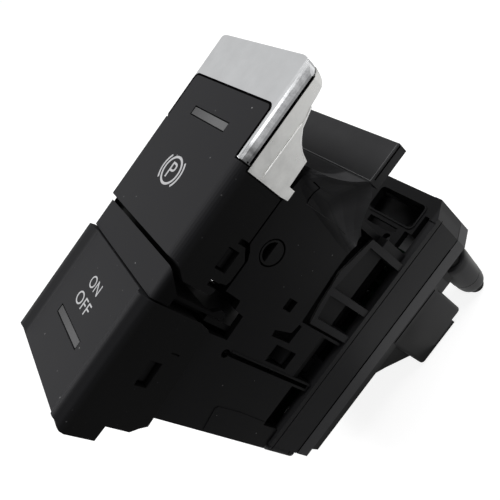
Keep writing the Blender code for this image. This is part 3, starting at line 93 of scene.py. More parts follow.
def math_node(tree, operation, first, second, clamp=False):
    """Math node between two sockets or plain numbers; gives its output."""
    made = tree.nodes.new("ShaderNodeMath")
    made.operation = operation
    made.use_clamp = clamp
    for socket, value in zip(made.inputs, (first, second)):
        if isinstance(value, float):
            socket.default_value = value
        else:
            tree.links.new(value, socket)
    return made.outputs[0]


def seen_share(tree, glossy):
    """How far a surface shows its bright side to each kind of ray."""
    path = tree.nodes.new("ShaderNodeLightPath")
    mirrored = math_node(tree, "MULTIPLY", path.outputs["Is Glossy Ray"], glossy)
    seen = math_node(tree, "MAXIMUM", path.outputs["Is Camera Ray"], mirrored)
    return math_node(tree, "MAXIMUM", seen, path.outputs["Is Transmission Ray"])


table_paint = bpy.data.materials.new("table_paint")
table_paint.use_nodes = True
tree = table_paint.node_tree
tree.nodes.clear()
out = tree.nodes.new("ShaderNodeOutputMaterial")
matt = tree.nodes.new("ShaderNodeBsdfDiffuse")
matt.inputs["Color"].default_value = (0.12, 0.12, 0.12, 1.0)
pale = tree.nodes.new("ShaderNodeBsdfDiffuse")
pale.inputs["Color"].default_value = (0.3, 0.3, 0.3, 1.0)
white = tree.nodes.new("ShaderNodeEmission")
white.inputs["Strength"].default_value = 0.88
shaded = tree.nodes.new("ShaderNodeAddShader")
shown = tree.nodes.new("ShaderNodeMixShader")
tree.links.new(pale.outputs[0], shaded.inputs[0])
tree.links.new(white.outputs[0], shaded.inputs[1])
tree.links.new(seen_share(tree, 0.3), shown.inputs["Fac"])
tree.links.new(matt.outputs[0], shown.inputs[1])
tree.links.new(shaded.outputs[0], shown.inputs[2])
tree.links.new(shown.outputs[0], out.inputs["Surface"])
table_data.materials.append(table_paint)

# Studio light
# A dim grey room, two broad soft lamps overhead, one that lies on the table
# beyond the finger end and shines up, and a narrow one from the right.
room = bpy.data.worlds.new("room")
bpy.context.scene.world = room
room.use_nodes = True
tree = room.node_tree
tree.nodes.clear()
out = tree.nodes.new("ShaderNodeOutputWorld")
dim = tree.nodes.new("ShaderNodeBackground")
dim.inputs["Color"].default_value = (0.08, 0.08, 0.083, 1.0)
bright = tree.nodes.new("ShaderNodeBackground")
bright.inputs["Color"].default_value = (1.0, 1.0, 1.0, 1.0)
both = tree.nodes.new("ShaderNodeMixShader")
tree.links.new(seen_share(tree, 0.62), both.inputs["Fac"])
tree.links.new(dim.outputs[0], both.inputs[1])
tree.links.new(bright.outputs[0], both.inputs[2])
tree.links.new(both.outputs[0], out.inputs["Surface"])


def studio_lamp(name, place, aim, width, height, power, turn=0.0):
    """Soft rectangular lamp, unseen by the camera, turned about its own axis."""
    data = bpy.data.lights.new(name, "AREA")
    data.shape = "RECTANGLE"
    data.size = width
    data.size_y = height
    data.energy = power
    lamp = bpy.data.objects.new(name, data)
    lamp.location = place
    lamp.rotation_mode = "QUATERNION"
    toward = (Vector(aim) - Vector(place)).to_track_quat("-Z", "Y")
    lamp.rotation_quaternion = toward @ Quaternion((0.0, 0.0, 1.0), math.radians(turn))
    lamp.visible_camera = False
    bpy.context.scene.collection.objects.link(lamp)


studio_lamp("lamp_over", (-0.34, -0.30, 0.80), (0.0, 0.0, 0.05), 0.45, 0.45, 4.4)
studio_lamp("lamp_far", (0.03, 0.50, 0.80), (0.0, 0.02, 0.04), 0.35, 0.35, 4.4)
studio_lamp("lamp_table", (0.060, 0.108, table_height + 0.002), (0.060, 0.108, 1.0), 0.17, 0.17,
            0.055, -27.0)
studio_lamp("lamp_strip", (0.28, 0.12, 0.55), (0.0, 0.02, 0.05), 0.10, 0.30, 0.17)

bpy.context.scene.view_settings.view_transform = "Standard"


# Moulded plastic housing
# The front shell and the base frame with its flange are glass filled nylon,
# injection moulded black with a fine spark grain, and clipped together.
def shader_group(name, inputs, outputs):
    """New node group with its sockets; gives the group and its two ends."""
    group = bpy.data.node_groups.new(name, "ShaderNodeTree")
    for socket, kind, value in inputs:
        made = group.interface.new_socket(name=socket, in_out="INPUT", socket_type=kind)
        if value is not None:
            made.default_value = value
    for socket, kind in outputs:
        group.interface.new_socket(name=socket, in_out="OUTPUT", socket_type=kind)
    return group, group.nodes.new("NodeGroupInput"), group.nodes.new("NodeGroupOutput")


def grain_group():
    """Fine moulded grain: its height, and how the colour and gloss drift."""
    group, given, result = shader_group(
        "moulded_grain",
        [("Colour", "NodeSocketColor", (0.012, 0.012, 0.013, 1.0)), ("Gloss", "NodeSocketFloat", 0.45),
         ("Scale", "NodeSocketFloat", 2600.0), ("Drift", "NodeSocketFloat", 0.15),
         ("Broad", "NodeSocketFloat", 70.0)],
        [("Colour", "NodeSocketColor"), ("Roughness", "NodeSocketFloat"), ("Height", "NodeSocketFloat")])
    place = group.nodes.new("ShaderNodeTexCoord")
    fine = group.nodes.new("ShaderNodeTexNoise")
    fine.inputs["Detail"].default_value = 3.0
    fine.inputs["Roughness"].default_value = 0.6
    broad = group.nodes.new("ShaderNodeTexNoise")
    broad.inputs["Detail"].default_value = 3.0
    group.links.new(given.outputs["Broad"], broad.inputs["Scale"])
    group.links.new(place.outputs["Object"], fine.inputs["Vector"])
    group.links.new(place.outputs["Object"], broad.inputs["Vector"])
    group.links.new(given.outputs["Scale"], fine.inputs["Scale"])
    centred = math_node(group, "SUBTRACT", broad.outputs["Fac"], 0.5)
    swing = math_node(group, "MULTIPLY", centred, given.outputs["Drift"])
    gloss = math_node(group, "ADD", given.outputs["Gloss"], swing)
    lift = math_node(group, "ADD", swing, 1.0)
    tint = group.nodes.new("ShaderNodeVectorMath")
    tint.operation = "SCALE"
    group.links.new(given.outputs["Colour"], tint.inputs[0])
    group.links.new(lift, tint.inputs["Scale"])
    group.links.new(tint.outputs[0], result.inputs["Colour"])
    group.links.new(gloss, result.inputs["Roughness"])
    group.links.new(fine.outputs["Fac"], result.inputs["Height"])
    return group


moulded_grain = grain_group()


def speck_group():
    """Tiny pale specks of dust that have settled on a dark surface."""
    group, given, result = shader_group(
        "dust_specks",
        [("Colour", "NodeSocketColor", (0.02, 0.02, 0.02, 1.0)),
         ("Dust", "NodeSocketColor", (0.3, 0.3, 0.3, 1.0)), ("Spacing", "NodeSocketFloat", 560.0),
         ("Size", "NodeSocketFloat", 0.075), ("Share", "NodeSocketFloat", 0.06)],
        [("Colour", "NodeSocketColor"), ("Mask", "NodeSocketFloat")])
    place = group.nodes.new("ShaderNodeTexCoord")
    cells = group.nodes.new("ShaderNodeTexVoronoi")
    group.links.new(place.outputs["Object"], cells.inputs["Vector"])
    group.links.new(given.outputs["Spacing"], cells.inputs["Scale"])
    near = math_node(group, "LESS_THAN", cells.outputs["Distance"], given.outputs["Size"])
    pick = group.nodes.new("ShaderNodeSeparateColor")
    group.links.new(cells.outputs["Color"], pick.inputs[0])
    chosen = math_node(group, "LESS_THAN", pick.outputs[0], given.outputs["Share"])
    mask = math_node(group, "MULTIPLY", math_node(group, "MULTIPLY", near, chosen), pick.outputs[1])
    tint = group.nodes.new("ShaderNodeMix")
    tint.data_type = "RGBA"
    group.links.new(mask, tint.inputs["Factor"])
    group.links.new(given.outputs["Colour"], tint.inputs["A"])
    group.links.new(given.outputs["Dust"], tint.inputs["B"])
    group.links.new(tint.outputs["Result"], result.inputs["Colour"])
    group.links.new(mask, result.inputs["Mask"])
    return group


dust_specks = speck_group()


def new_material(name):
    """Material with its own Principled shader; gives all three."""
    material = bpy.data.materials.new(name)
    material.use_nodes = True
    return material, material.node_tree, material.node_tree.nodes["Principled BSDF"]


def grain_node(tree, shader, gloss, scale, drift):
    """Moulded grain that drives the shader's roughness."""
    grain = tree.nodes.new("ShaderNodeGroup")
    grain.node_tree = moulded_grain
    grain.inputs["Gloss"].default_value = gloss
    grain.inputs["Scale"].default_value = scale
    grain.inputs["Drift"].default_value = drift
    tree.links.new(grain.outputs["Roughness"], shader.inputs["Roughness"])
    return grain


def relief(tree, shader, height, depth):
    """Bump of a given depth from a height."""
    bump = tree.nodes.new("ShaderNodeBump")
    bump.inputs["Strength"].default_value = 1.0
    bump.inputs["Distance"].default_value = depth
    tree.links.new(height, bump.inputs["Height"])
    tree.links.new(bump.outputs["Normal"], shader.inputs["Normal"])


def dust_node(tree, colour, share):
    """Specks of dust over a colour."""
    specks = tree.nodes.new("ShaderNodeGroup")
    specks.node_tree = dust_specks
    specks.inputs["Share"].default_value = share
    tree.links.new(colour, specks.inputs["Colour"])
    return specks


def grained_plastic(name, colour, gloss, scale, drift, depth, specular, dust=0.0):
    """Moulded or painted plastic: grain, drifting gloss and, if asked, dust."""
    material, tree, shader = new_material(name)
    shader.inputs["Specular IOR Level"].default_value = specular
    grain = grain_node(tree, shader, gloss, scale, drift)
    grain.inputs["Colour"].default_value = (*colour, 1.0)
    relief(tree, shader, grain.outputs["Height"], depth)
    surface = grain.outputs["Colour"]
    if dust:
        surface = dust_node(tree, surface, dust).outputs["Colour"]
    tree.links.new(surface, shader.inputs["Base Color"])
    return material


def dress(name, material, round_over=0.00018):
    """Give a carried-over piece its finish and softly rounded edges."""
    piece = nodes[name]
    piece.data.materials.clear()
    piece.data.materials.append(material)
    if round_over:
        weld = piece.modifiers.new("weld", "WELD")
        weld.merge_threshold = 0.000005
        flat = piece.modifiers.new("flat", "DECIMATE")
        flat.decimate_type = "DISSOLVE"
        flat.angle_limit = math.radians(1.0)
        soft = piece.modifiers.new("soft", "BEVEL")
        soft.width = round_over
        soft.segments = 2
        soft.limit_method = "ANGLE"
        soft.angle_limit = math.radians(40)
        soft.harden_normals = False
        even = piece.modifiers.new("even", "WEIGHTED_NORMAL")
        even.keep_sharp = True
    return piece


def place_group():
    """Where a point lies past given widths, heights and levels, softly."""
    names = ("Width From", "Width To", "Height From", "Height To", "Level From", "Level To")
    group, given, result = shader_group(
        "place_mask", [(name, "NodeSocketFloat", 0.0) for name in names], [("Mask", "NodeSocketFloat")])
    place = group.nodes.new("ShaderNodeTexCoord")
    axes = group.nodes.new("ShaderNodeSeparateXYZ")
    group.links.new(place.outputs["Object"], axes.inputs[0])
    width = math_node(group, "ABSOLUTE", axes.outputs["X"], 0.0)
    shares = []
    for value, first in ((width, "Width"), (axes.outputs["Y"], "Height"), (axes.outputs["Z"], "Level")):
        ramp = group.nodes.new("ShaderNodeMapRange")
        ramp.interpolation_type = "SMOOTHSTEP"
        group.links.new(value, ramp.inputs["Value"])
        group.links.new(given.outputs[f"{first} From"], ramp.inputs["From Min"])
        group.links.new(given.outputs[f"{first} To"], ramp.inputs["From Max"])
        shares.append(ramp.outputs["Result"])
    across = math_node(group, "MULTIPLY", shares[0], shares[1])
    group.links.new(math_node(group, "MULTIPLY", across, shares[2]), result.inputs["Mask"])
    return group


place_mask = place_group()
everywhere = (-2.0, -1.0)


def tint_where(material, colour, share, width=everywhere, height=everywhere, level=everywhere, patches=0.0,
               spread=260.0):
    """Tint part of a surface in soft patches: painted shade, painted light and dust.

    Width is |x|, height is y and level is z, each from none of the tint to
    all of it. With patches the share of the tint varies by that much.
    """
    tree = material.node_tree
    shader = tree.nodes["Principled BSDF"]
    under = shader.inputs["Base Color"].links[0].from_socket
    mask = tree.nodes.new("ShaderNodeGroup")
    mask.node_tree = place_mask
    for name, ends in (("Width", width), ("Height", height), ("Level", level)):
        mask.inputs[f"{name} From"].default_value = ends[0]
        mask.inputs[f"{name} To"].default_value = ends[1]
    place = tree.nodes.new("ShaderNodeTexCoord")
    cloud = tree.nodes.new("ShaderNodeTexNoise")
    cloud.inputs["Scale"].default_value = spread
    cloud.inputs["Detail"].default_value = 4.0
    tree.links.new(place.outputs["Object"], cloud.inputs["Vector"])
    uneven = tree.nodes.new("ShaderNodeMapRange")
    uneven.inputs["To Min"].default_value = share * (1.0 - patches)
    uneven.inputs["To Max"].default_value = share * (1.0 + patches)
    tree.links.new(cloud.outputs["Fac"], uneven.inputs["Value"])
    amount = math_node(tree, "MULTIPLY", mask.outputs["Mask"], uneven.outputs["Result"], clamp=True)
    tint = tree.nodes.new("ShaderNodeMix")
    tint.data_type = "RGBA"
    tint.inputs["B"].default_value = (*colour, 1.0)
    tree.links.new(amount, tint.inputs["Factor"])
    tree.links.new(under, tint.inputs["A"])
    tree.links.new(tint.outputs["Result"], shader.inputs["Base Color"])


# Grey film on the wings and the finger shelf: partly dust, partly painted light;
# paler painted highlight on the wings towards the base; painted shade inside the walls.
dust_and_painted_light = (0.058, 0.058, 0.06)
pale_painted_light = (0.12, 0.12, 0.123)
faint_painted_light = (0.022, 0.022, 0.023)
wing_width = (0.01422, 0.0149)
wing_height = (0.009, 0.0145)
shelf_level = (0.0424, 0.0430)
moulded_black = grained_plastic("moulded_black", (0.011, 0.011, 0.0117), 0.42, 2600.0, 0.25, 0.00001, 0.08,
                                0.03)
# Partly dust and partly painted light on the wings.
tint_where(moulded_black, dust_and_painted_light, 0.9, width=wing_width, height=wing_height, patches=0.25)
# Paler painted highlight on the wings towards the base.
tint_where(moulded_black, pale_painted_light, 0.85, width=wing_width, height=wing_height, level=(0.0450, 0.0420),
           patches=0.25)
# Painted light on the finger shelf.
tint_where(moulded_black, faint_painted_light, 0.95, height=(0.0264, 0.0270), level=shelf_level, patches=0.1)
tint_where(moulded_black, dust_and_painted_light, 0.9, height=(0.0262, 0.0330), level=shelf_level, patches=0.25)
# Painted shade inside the walls.
tint_where(moulded_black, (0.002, 0.002, 0.002), 0.85, width=(0.01418, 0.0141), height=(0.0215, 0.0205))
frame_black = grained_plastic("frame_black", (0.0275, 0.0275, 0.029), 0.42, 2600.0, 0.25, 0.00001, 0.08,
                              0.015)
# Painted shade darkens the frame inside its walls.
tint_where(frame_black, (0.004, 0.004, 0.004), 0.6, width=(0.0140, 0.0132))
dress("housing", moulded_black)
dress("base_frame", frame_black)

# Moulding lines on the housing
# Fine lines that the mould leaves: a bead round the finger shelf and the
# parting lines across each wing, painted pale as highlights, and black lines of
# painted shade in the groove beside the bead and in a groove on each wing.
# Pale colours for painted highlights on the bead and the parting lines.
edge_highlight = grained_plastic("edge_highlight", (0.12, 0.12, 0.123), 0.38, 3000.0, 0.4, 0.00001, 0.3)
faint_highlight = grained_plastic("faint_highlight", (0.045, 0.045, 0.046), 0.45, 3000.0, 0.4, 0.00001, 0.1)
# Black for lines and plates of painted shade in gaps, grooves and seams.
shade_black = grained_plastic("shade_black", (0.002, 0.002, 0.002), 0.8, 2600.0, 0.1, 0.00001, 0.0)
shelf_depth = 0.0193
shelf_start = 0.0270
shelf_end = 0.0346
shelf_half = 0.0200


def fine_rod(name, points, thick, material, body, closed=False):
    """Thin round bead along a line of points."""
    data = bpy.data.curves.new(name, "CURVE")
    data.dimensions = "3D"
    data.bevel_depth = thick
    data.bevel_resolution = 2
    data.use_fill_caps = True
    line = data.splines.new("POLY")
    line.points.add(len(points) - 1)
    line.use_cyclic_u = closed
    for point, place in zip(line.points, points):
        point.co = (*place, 1.0)
    data.materials.append(material)
    piece = bpy.data.objects.new(name, data)
    bpy.context.scene.collection.objects.link(piece)
    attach(piece, body)


def mesh_piece(name, made, material, body):
    """Piece made from a bmesh, in its material and on its body."""
    data = bpy.data.meshes.new(name)
    made.to_mesh(data)
    made.free()
    data.materials.append(material)
    piece = bpy.data.objects.new(name, data)
    bpy.context.scene.collection.objects.link(piece)
    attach(piece, body)
    return piece


def thicken(piece, thickness):
    """Give a flat piece its thickness, half of it to each side."""
    solid = piece.modifiers.new("solid", "SOLIDIFY")
    solid.thickness = thickness
    solid.offset = 0.0


def wall_line(name, side, points, width, material):
    """Narrow line laid on the housing's side, given by y and depth."""
    start_x = 0.024
    steps = 14
    made = bmesh.new()
    rows = []
    for index in range(len(points) - 1):
        (y0, d0), (y1, d1) = points[index], points[index + 1]
        run = math.hypot(y1 - y0, d1 - d0)
        across = ((d1 - d0) / run * width / 2, -(y1 - y0) / run * width / 2)
        for step in range(steps if index < len(points) - 2 else steps + 1):
            y = y0 + (y1 - y0) * step / steps
            depth = d0 + (d1 - d0) * step / steps
            rows.append([made.verts.new((side * start_x, y + flip * across[0],
                                         face_height - depth - flip * across[1])) for flip in (-1, 1)])
    for near, far in zip(rows, rows[1:]):
        made.faces.new((near[0], near[1], far[1], far[0]))
    piece = mesh_piece(name, made, material, "switch_base")
    lay = piece.modifiers.new("lay", "SHRINKWRAP")
    lay.target = nodes["housing"]
    lay.wrap_method = "PROJECT"
    lay.use_project_x = True
    lay.use_negative_direction = side > 0
    lay.use_positive_direction = side < 0
    lay.offset = 0.00001
    thicken(piece, 0.00006)


shelf_top = face_height - shelf_depth
bead_x = shelf_half - 0.0003
bead_start = shelf_start + 0.0002
bead_end = shelf_end - 0.0002
groove_start = shelf_start + 0.0007
groove_depth = shelf_depth + 0.0004
fine_rod("shelf_bead", [(-bead_x, bead_end, shelf_top), (-bead_x, bead_start, shelf_top),
                        (bead_x, bead_start, shelf_top), (bead_x, bead_end, shelf_top)],
         0.00012, edge_highlight, "switch_base")
wall_lines = (
    ("shelf_groove", [(groove_start, groove_depth), (bead_end, groove_depth)], 0.00026, shade_black),
    ("wing_groove", [(0.0218, 0.0139), (0.0217, 0.0156), (0.0190, 0.0158)], 0.00016, shade_black),
    ("wing_line", [(0.0184, 0.0160), (0.0188, 0.0242), (0.0185, 0.0275)], 0.00012, faint_highlight),
    ("wing_seam", [(0.0217, 0.0152), (0.0222, 0.0196)], 0.00012, faint_highlight))
for side, hand in ((1, "right"), (-1, "left")):
    for name, points, width, material in wall_lines:
        wall_line(f"{name}_{hand}", side, points, width, material)

# Rear cover
# The cover with the plug shroud and the locating peg is the same nylon in a
# second moulding, a little greyer, snapped into the flange, with a black line of
# painted shade along the seam. Painted shade darkens it towards its rear end,
# more so away from the finger end, and a painted shadow lies on it beside the peg.
cover_black = grained_plastic("cover_black", (0.098, 0.098, 0.101), 0.5, 2400.0, 0.25, 0.00001, 0.12, 0.015)
cover_shade = (0.003, 0.003, 0.003)
# Painted shade towards the rear end and away from the finger end, and a painted shadow beside the peg.
tint_where(cover_black, cover_shade, 0.38, level=(0.0045, 0.0030))
tint_where(cover_black, cover_shade, 0.95, height=(0.036, 0.007), level=(0.004, 0.0))
tint_where(cover_black, (0.001, 0.001, 0.001), 0.95, height=(0.0246, 0.0250), level=(0.0036, 0.0030))
dress("rear_cover", cover_black)
seam_x = 0.0147
seam_z = face_height - 0.05668
for side, hand in ((1, "right"), (-1, "left")):
    fine_rod(f"cover_seam_{hand}", [(side * seam_x, -0.0245, seam_z), (side * seam_x, 0.0300, seam_z)],
             0.00020, shade_black, "switch_base")

# Sleeve on the locating peg
# A tapered sleeve of the same nylon that makes the peg as stout as it looks,
# with a painted highlight on its side towards the finger end, and a black line
# of painted shade at the fine ring that the slide of the mould leaves near its end.
sleeve_black = grained_plastic("sleeve_black", (0.044, 0.044, 0.045), 0.5, 2400.0, 0.3, 0.00001, 0.1, 0.015)
# Painted highlight on the side towards the finger end.
tint_where(sleeve_black, (0.25, 0.25, 0.24), 0.8, height=(0.0306, 0.0336), patches=0.2)
sleeve_place = (0.0108, 0.0295)
sleeve_sides = 36
sleeve_profile = ((0.0010, 0.0015), (0.0039, 0.0015), (0.0040, 0.0014), (0.0040, -0.0008), (0.0034, -0.0112),
                  (0.0032, -0.0124), (0.0027, -0.0132), (0.0018, -0.0137), (0.0006, -0.0139))


def circle(centre, radius, height, sides):
    """Points round a centre at one height."""
    turns = [math.radians(360 / sides * step) for step in range(sides)]
    return [(centre[0] + radius * math.cos(turn), centre[1] + radius * math.sin(turn), height)
            for turn in turns]


made = bmesh.new()
rows = [[made.verts.new(point) for point in circle(sleeve_place, radius, height, sleeve_sides)]
        for radius, height in sleeve_profile]
for near, far in zip(rows, rows[1:]):
    for step in range(sleeve_sides):
        after = (step + 1) % sleeve_sides
        made.faces.new((near[step], near[after], far[after], far[step]))
made.faces.new(rows[0][::-1])
made.faces.new(rows[-1])
bmesh.ops.recalc_face_normals(made, faces=list(made.faces))
for face in made.faces:
    face.smooth = True
mesh_piece("peg_sleeve", made, sleeve_black, "switch_base")
fine_rod("peg_ring", circle(sleeve_place, 0.00356, -0.0084, 24), 0.00005, shade_black, "switch_base",
         closed=True)

# Button caps and divider bar
# The caps and the bar are moulded in ABS and sprayed with soft-touch paint,
# which is smooth, matt and near-black. Painted shade darkens the side walls.
soft_black = grained_plastic("soft_black", (0.019, 0.019, 0.0205), 0.6, 5200.0, 0.08, 0.000004, 0.1, 0.35)
bar_black = grained_plastic("bar_black", (0.0255, 0.0255, 0.027), 0.6, 5200.0, 0.08, 0.000004, 0.05, 0.3)
# Painted shade down the side walls of the caps and the bar.
tint_where(soft_black, (0.003, 0.003, 0.003), 0.9, level=(face_height - 0.0012, face_height - 0.003))
tint_where(bar_black, (0.002, 0.002, 0.002), 0.85, level=(face_height - 0.0014, face_height - 0.0028))
dress("brake_cap", soft_black)
dress("hold_cap", soft_black)
dress("divider_bar", bar_black)

# Painted shade at the far end of the bar
# A thin black plate of painted shade fills the gap between the bar and the upper
# cap at the far side. It sits on the bar's end, outside the cap's path.
gap_shade_centre = (-0.01485, -0.0016, face_height - 0.00375)
gap_shade_size = (0.0002, 0.0028, 0.0036)
made = bmesh.new()
bmesh.ops.create_cube(made, size=1.0)
for corner in made.verts:
    corner.co = [centre + along * size for centre, along, size in zip(gap_shade_centre, corner.co, gap_shade_size)]
mesh_piece("bar_gap_shade", made, shade_black, "switch_base")

# Printed symbol on the upper cap
# The common parking brake sign, a P in a ring between two brackets. It is cut
# by laser through the black paint to the white plastic under it.
sign_white, tree, shader = new_material("sign_white")
shader.inputs["Specular IOR Level"].default_value = 0.2
grain = grain_node(tree, shader, 0.6, 6000.0, 0.2)
grain.inputs["Colour"].default_value = (0.52, 0.52, 0.53, 1.0)
tree.links.new(grain.outputs["Colour"], shader.inputs["Base Color"])
sign_lift = 0.00002


def sign_piece(name, made, height, body):
    """Turn a bmesh of flat outlines into a sign of a hair's thickness."""
    for vertex in made.verts:
        vertex.co.z = height
    made.normal_update()
    for face in made.faces:
        if face.normal.z < 0.0:
            face.normal_flip()
    thicken(mesh_piece(name, made, sign_white, body), 2 * sign_lift)


def add_arc(made, centre, radius, width, first, last, steps):
    """Flat curved band round a centre, closed when it goes all the way."""
    closed = last - first >= 360.0
    rows = []
    for step in range(steps if closed else steps + 1):
        angle = math.radians(first + (last - first) * step / steps)
        rows.append([made.verts.new((centre[0] + reach * math.cos(angle),
                                     centre[1] + reach * math.sin(angle), 0.0))
                     for reach in (radius - width / 2, radius + width / 2)])
    for index in range(steps):
        near, far = rows[index], rows[(index + 1) % len(rows)]
        made.faces.new((near[0], near[1], far[1], far[0]))


def add_words(made, words, x0, x1, y0, y1):
    """Flat letters, fitted to a box."""
    text = bpy.data.curves.new("words", "FONT")
    text.body = words
    text.space_character = 1.05
    holder = bpy.data.objects.new("words", text)
    bpy.context.scene.collection.objects.link(holder)
    flat = bpy.data.meshes.new_from_object(holder)
    low = [min(v.co[i] for v in flat.vertices) for i in (0, 1)]
    high = [max(v.co[i] for v in flat.vertices) for i in (0, 1)]
    for vertex in flat.vertices:
        vertex.co.x = x0 + (vertex.co.x - low[0]) / (high[0] - low[0]) * (x1 - x0)
        vertex.co.y = y0 + (vertex.co.y - low[1]) / (high[1] - low[1]) * (y1 - y0)
        vertex.co.z = 0.0
    made.from_mesh(flat)
    bpy.data.objects.remove(holder)
    bpy.data.curves.remove(text)
    bpy.data.meshes.remove(flat)


ring_centre = (-0.0001, 0.0098)
made = bmesh.new()
add_arc(made, ring_centre, 0.00252, 0.00045, 0.0, 360.0, 64)
for first in (-42.0, 138.0):
    add_arc(made, ring_centre, 0.00335, 0.00042, first, first + 84.0, 20)
add_words(made, "P", ring_centre[0] - 0.00088, ring_centre[0] + 0.00106, 0.0083, 0.0113)
sign_piece("brake_sign", made, face_height, "brake_button")

# Printed legend on the lower cap
# Two lines that say which way the button switches, ON above OFF, cut through
# the paint of the dished face like the sign above.
dish_depth = 0.0009
made = bmesh.new()
add_words(made, "ON", -0.0026, 0.0021, -0.0149, -0.01265)
add_words(made, "OFF", -0.0035, 0.0030, -0.0187, -0.0163)
sign_piece("hold_legend", made, face_height - dish_depth, "hold_button")

# Chrome trim
# The finger end has a plated ABS band with bright mirror chrome that runs
# down each long edge of the button in a thin strip.
def plated_metal(name, colour, gloss, drift, broad, scale, depth, dust):
    """Plated metal: cloudy gloss, a faint ripple and settled dust."""
    material, tree, shader = new_material(name)
    shader.inputs["Metallic"].default_value = 1.0
    grain = grain_node(tree, shader, gloss, scale, drift)
    grain.inputs["Colour"].default_value = (*colour, 1.0)
    grain.inputs["Broad"].default_value = broad
    relief(tree, shader, grain.outputs["Height"], depth)
    specks = dust_node(tree, grain.outputs["Colour"], dust)
    specks.inputs["Dust"].default_value = (0.9, 0.9, 0.9, 1.0)
    tree.links.new(specks.outputs["Colour"], shader.inputs["Base Color"])
    return material


bright_chrome = plated_metal("bright_chrome", (0.78, 0.79, 0.80), 0.16, 0.16, 260.0, 700.0, 0.000006, 0.01)
# Painted reflections as dark patches on the strips' outer parts; the strips are darker towards their lower
# ends.
tint_where(bright_chrome, (0.12, 0.12, 0.13), 0.35, width=(0.0137, 0.0141), height=(0.0345, 0.0335),
           patches=1.0, spread=1300.0)
tint_where(bright_chrome, (0.02, 0.02, 0.02), 0.6, width=(0.0136, 0.0139), height=(0.0212, 0.0192),
           patches=0.9, spread=900.0)
dress("chrome_trim", bright_chrome, 0.00012)

# Finger pull
# The pull under the finger end is plated in satin chrome, with a side plate
# on each flank that is pressed over the cap.
satin_chrome = plated_metal("satin_chrome", (0.68, 0.68, 0.665), 0.36, 0.55, 420.0, 3800.0, 0.000004, 0.01)
dress("pull_plate", satin_chrome, 0.00012)

# Painted shadow lines and highlights of the finger end
# Black lines of painted shade in the gap that frames the cap and in the gap
# between strip and plate, a black spot at the strip's end, and bright lines of
# painted highlight along a fold and an edge of the plate.
def flat_ribbon(name, inner, outer, height, material, body):
    """Thin flat band between two lines of the same number of points."""
    made = bmesh.new()
    rows = [[made.verts.new((*place, height)) for place in pair] for pair in zip(inner, outer)]
    for near, far in zip(rows, rows[1:]):
        made.faces.new((near[0], near[1], far[1], far[0]))
    thicken(mesh_piece(name, made, material, body), 0.00004)


def frame_line(width, height, low, radius):
    """Line up one side, round two corners and down the other side."""
    line = [(-width, low)]
    for first, centre in ((180.0, -1), (90.0, 1)):
        for step in range(9):
            angle = math.radians(first - 11.25 * step)
            line.append((centre * (width - radius) + radius * math.cos(angle),
                         height - radius + radius * math.sin(angle)))
    line.append((width, low))
    return line


gap_inner = frame_line(0.01295, 0.02645, 0.0176, 0.0010)
gap_outer = frame_line(0.01334, 0.02684, 0.0176, 0.0012)
flat_ribbon("cap_gap", gap_inner, gap_outer, face_height + 0.00001, shade_black, "brake_button")
# Bright metal for the lines of painted highlight.
metal_highlight = plated_metal("metal_highlight", (0.95, 0.95, 0.94), 0.55, 0.2, 400.0, 2000.0, 0.000002, 0.0)
edge_lines = (
    ("plate_gap", 0.01468, ((0.0175, 0.00178), (0.0332, 0.00178)), 0.00010, shade_black, "moulded_black"),
    ("plate_fold", 0.01489, ((0.0178, 0.0050), (0.0271, 0.0051)), 0.00010, metal_highlight, "satin_chrome"),
    ("plate_rim", 0.01486, ((0.0233, 0.0098), (0.0240, 0.0085), (0.0249, 0.0071), (0.0267, 0.0057),
                            (0.0300, 0.0047)), 0.00011, metal_highlight, "satin_chrome"),
    ("strip_spot", 0.01462, ((0.0175, 0.0013), (0.0177, 0.0014)), 0.00017, shade_black, "moulded_black"))
for side, hand in ((1, "right"), (-1, "left")):
    for name, reach, places, thick, material, slot in edge_lines:
        fine_rod(f"{name}_{hand}", [(side * reach, y, face_height - depth) for y, depth in places], thick,
                 material, "brake_button")

# Indicator windows
# Smoked acrylic plugs that sit just under the paint of each cap and glow when
# their lamp is on. Unlit, they look darker towards one end.
lens_grey = grained_plastic("lens_grey", (0.115, 0.115, 0.117), 0.5, 3000.0, 0.35, 0.000003, 0.3)
lens_smoke = grained_plastic("lens_smoke", (0.068, 0.068, 0.07), 0.5, 3000.0, 0.35, 0.000003, 0.3)
for window, low in ((lens_grey, (0.05, 0.05, 0.052)), (lens_smoke, (0.03, 0.03, 0.031))):
    tree = window.node_tree
    shader = tree.nodes["Principled BSDF"]
    under = shader.inputs["Base Color"].links[0].from_socket
    place = tree.nodes.new("ShaderNodeTexCoord")
    axes = tree.nodes.new("ShaderNodeSeparateXYZ")
    along = tree.nodes.new("ShaderNodeMapRange")
    along.interpolation_type = "SMOOTHSTEP"
    along.inputs["From Min"].default_value = -0.0085
    along.inputs["From Max"].default_value = 0.0045
    smoke = tree.nodes.new("ShaderNodeMix")
    smoke.data_type = "RGBA"
    smoke.inputs["A"].default_value = (*low, 1.0)
    tree.links.new(place.outputs["Object"], axes.inputs[0])
    tree.links.new(axes.outputs["X"], along.inputs["Value"])
    tree.links.new(along.outputs["Result"], smoke.inputs["Factor"])
    tree.links.new(under, smoke.inputs["B"])
    tree.links.new(smoke.outputs["Result"], shader.inputs["Base Color"])
dress("brake_lens", lens_grey, 0.00005)
dress("hold_lens", lens_smoke, 0.00005)

# Rocker, lower carrier and contact slider
# The carriers that the caps snap on to are black acetal, slippery and slightly
# waxy, with the contact slider in the same plastic.
carrier_black = grained_plastic("carrier_black", (0.008, 0.008, 0.0084), 0.4, 2600.0, 0.15, 0.00001, 0.1)
for name in ("brake_rocker", "hold_slider", "contact_slider"):
    dress(name, carrier_black, 0.0001)

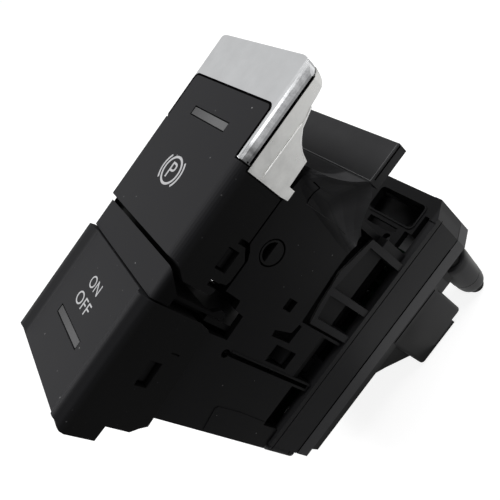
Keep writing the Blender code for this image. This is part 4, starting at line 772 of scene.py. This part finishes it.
# Circuit board, contact base and lamps
# A glass epoxy board under dark green solder resist, with tracks that show
# through as paler lines, an ivory contact base and four small white lamps.
board_green, tree, shader = new_material("board_green")
shader.inputs["Roughness"].default_value = 0.45
shader.inputs["Specular IOR Level"].default_value = 0.1
place = tree.nodes.new("ShaderNodeTexCoord")
tracks = tree.nodes.new("ShaderNodeTexVoronoi")
tracks.distance = "MANHATTAN"
tracks.feature = "DISTANCE_TO_EDGE"
tracks.inputs["Scale"].default_value = 320.0
narrow = math_node(tree, "LESS_THAN", tracks.outputs["Distance"], 0.12)
resist = tree.nodes.new("ShaderNodeMix")
resist.data_type = "RGBA"
resist.inputs["A"].default_value = (0.002, 0.009, 0.005, 1.0)
resist.inputs["B"].default_value = (0.004, 0.018, 0.009, 1.0)
tree.links.new(place.outputs["Object"], tracks.inputs["Vector"])
tree.links.new(narrow, resist.inputs["Factor"])
tree.links.new(resist.outputs["Result"], shader.inputs["Base Color"])
relief(tree, shader, narrow, 0.00002)
dress("circuit_board", board_green, 0.00005)
contact_ivory = grained_plastic("contact_ivory", (0.55, 0.52, 0.42), 0.45, 2400.0, 0.12, 0.000008, 0.4)
dress("contact_base", contact_ivory, 0.00008)
lamp_white = grained_plastic("lamp_white", (0.75, 0.75, 0.72), 0.3, 3000.0, 0.1, 0.000003, 0.5)
for number in range(1, 5):
    dress(f"lamp_{number}", lamp_white, 0.00008)

# Light guides
# Clear acrylic bars that carry each lamp's light up to its window, with flame
# polished sides.
guide_clear, tree, shader = new_material("guide_clear")
shader.inputs["Base Color"].default_value = (0.92, 0.94, 0.94, 1.0)
shader.inputs["Transmission Weight"].default_value = 1.0
shader.inputs["IOR"].default_value = 1.49
grain_node(tree, shader, 0.12, 1500.0, 0.1)
dress("brake_light_guide", guide_clear, 0.00008)
dress("hold_light_guide", guide_clear, 0.00008)

# Plug pins, springs and dome
# Eight drawn brass pins with bright tin plating, two music wire springs and
# one moulded silicone dome. Springs and dome shorten as their buttons move, so
# each gets a mesh of its own.
pin_tin = plated_metal("pin_tin", (0.62, 0.61, 0.58), 0.28, 0.12, 300.0, 3000.0, 0.000002, 0.0)
for number in range(1, 9):
    dress(f"pin_{number}", pin_tin, 0.00006)
spring_steel = plated_metal("spring_steel", (0.11, 0.11, 0.115), 0.4, 0.15, 300.0, 5000.0, 0.000002, 0.0)
for name in ("brake_spring_low", "brake_spring_high"):
    spring = dress(name, spring_steel, 0.0)
    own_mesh(spring)
dome_grey = grained_plastic("dome_grey", (0.16, 0.16, 0.165), 0.65, 1800.0, 0.15, 0.000008, 0.25)
hold_dome = dress("hold_dome", dome_grey, 0.0)
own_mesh(hold_dome)
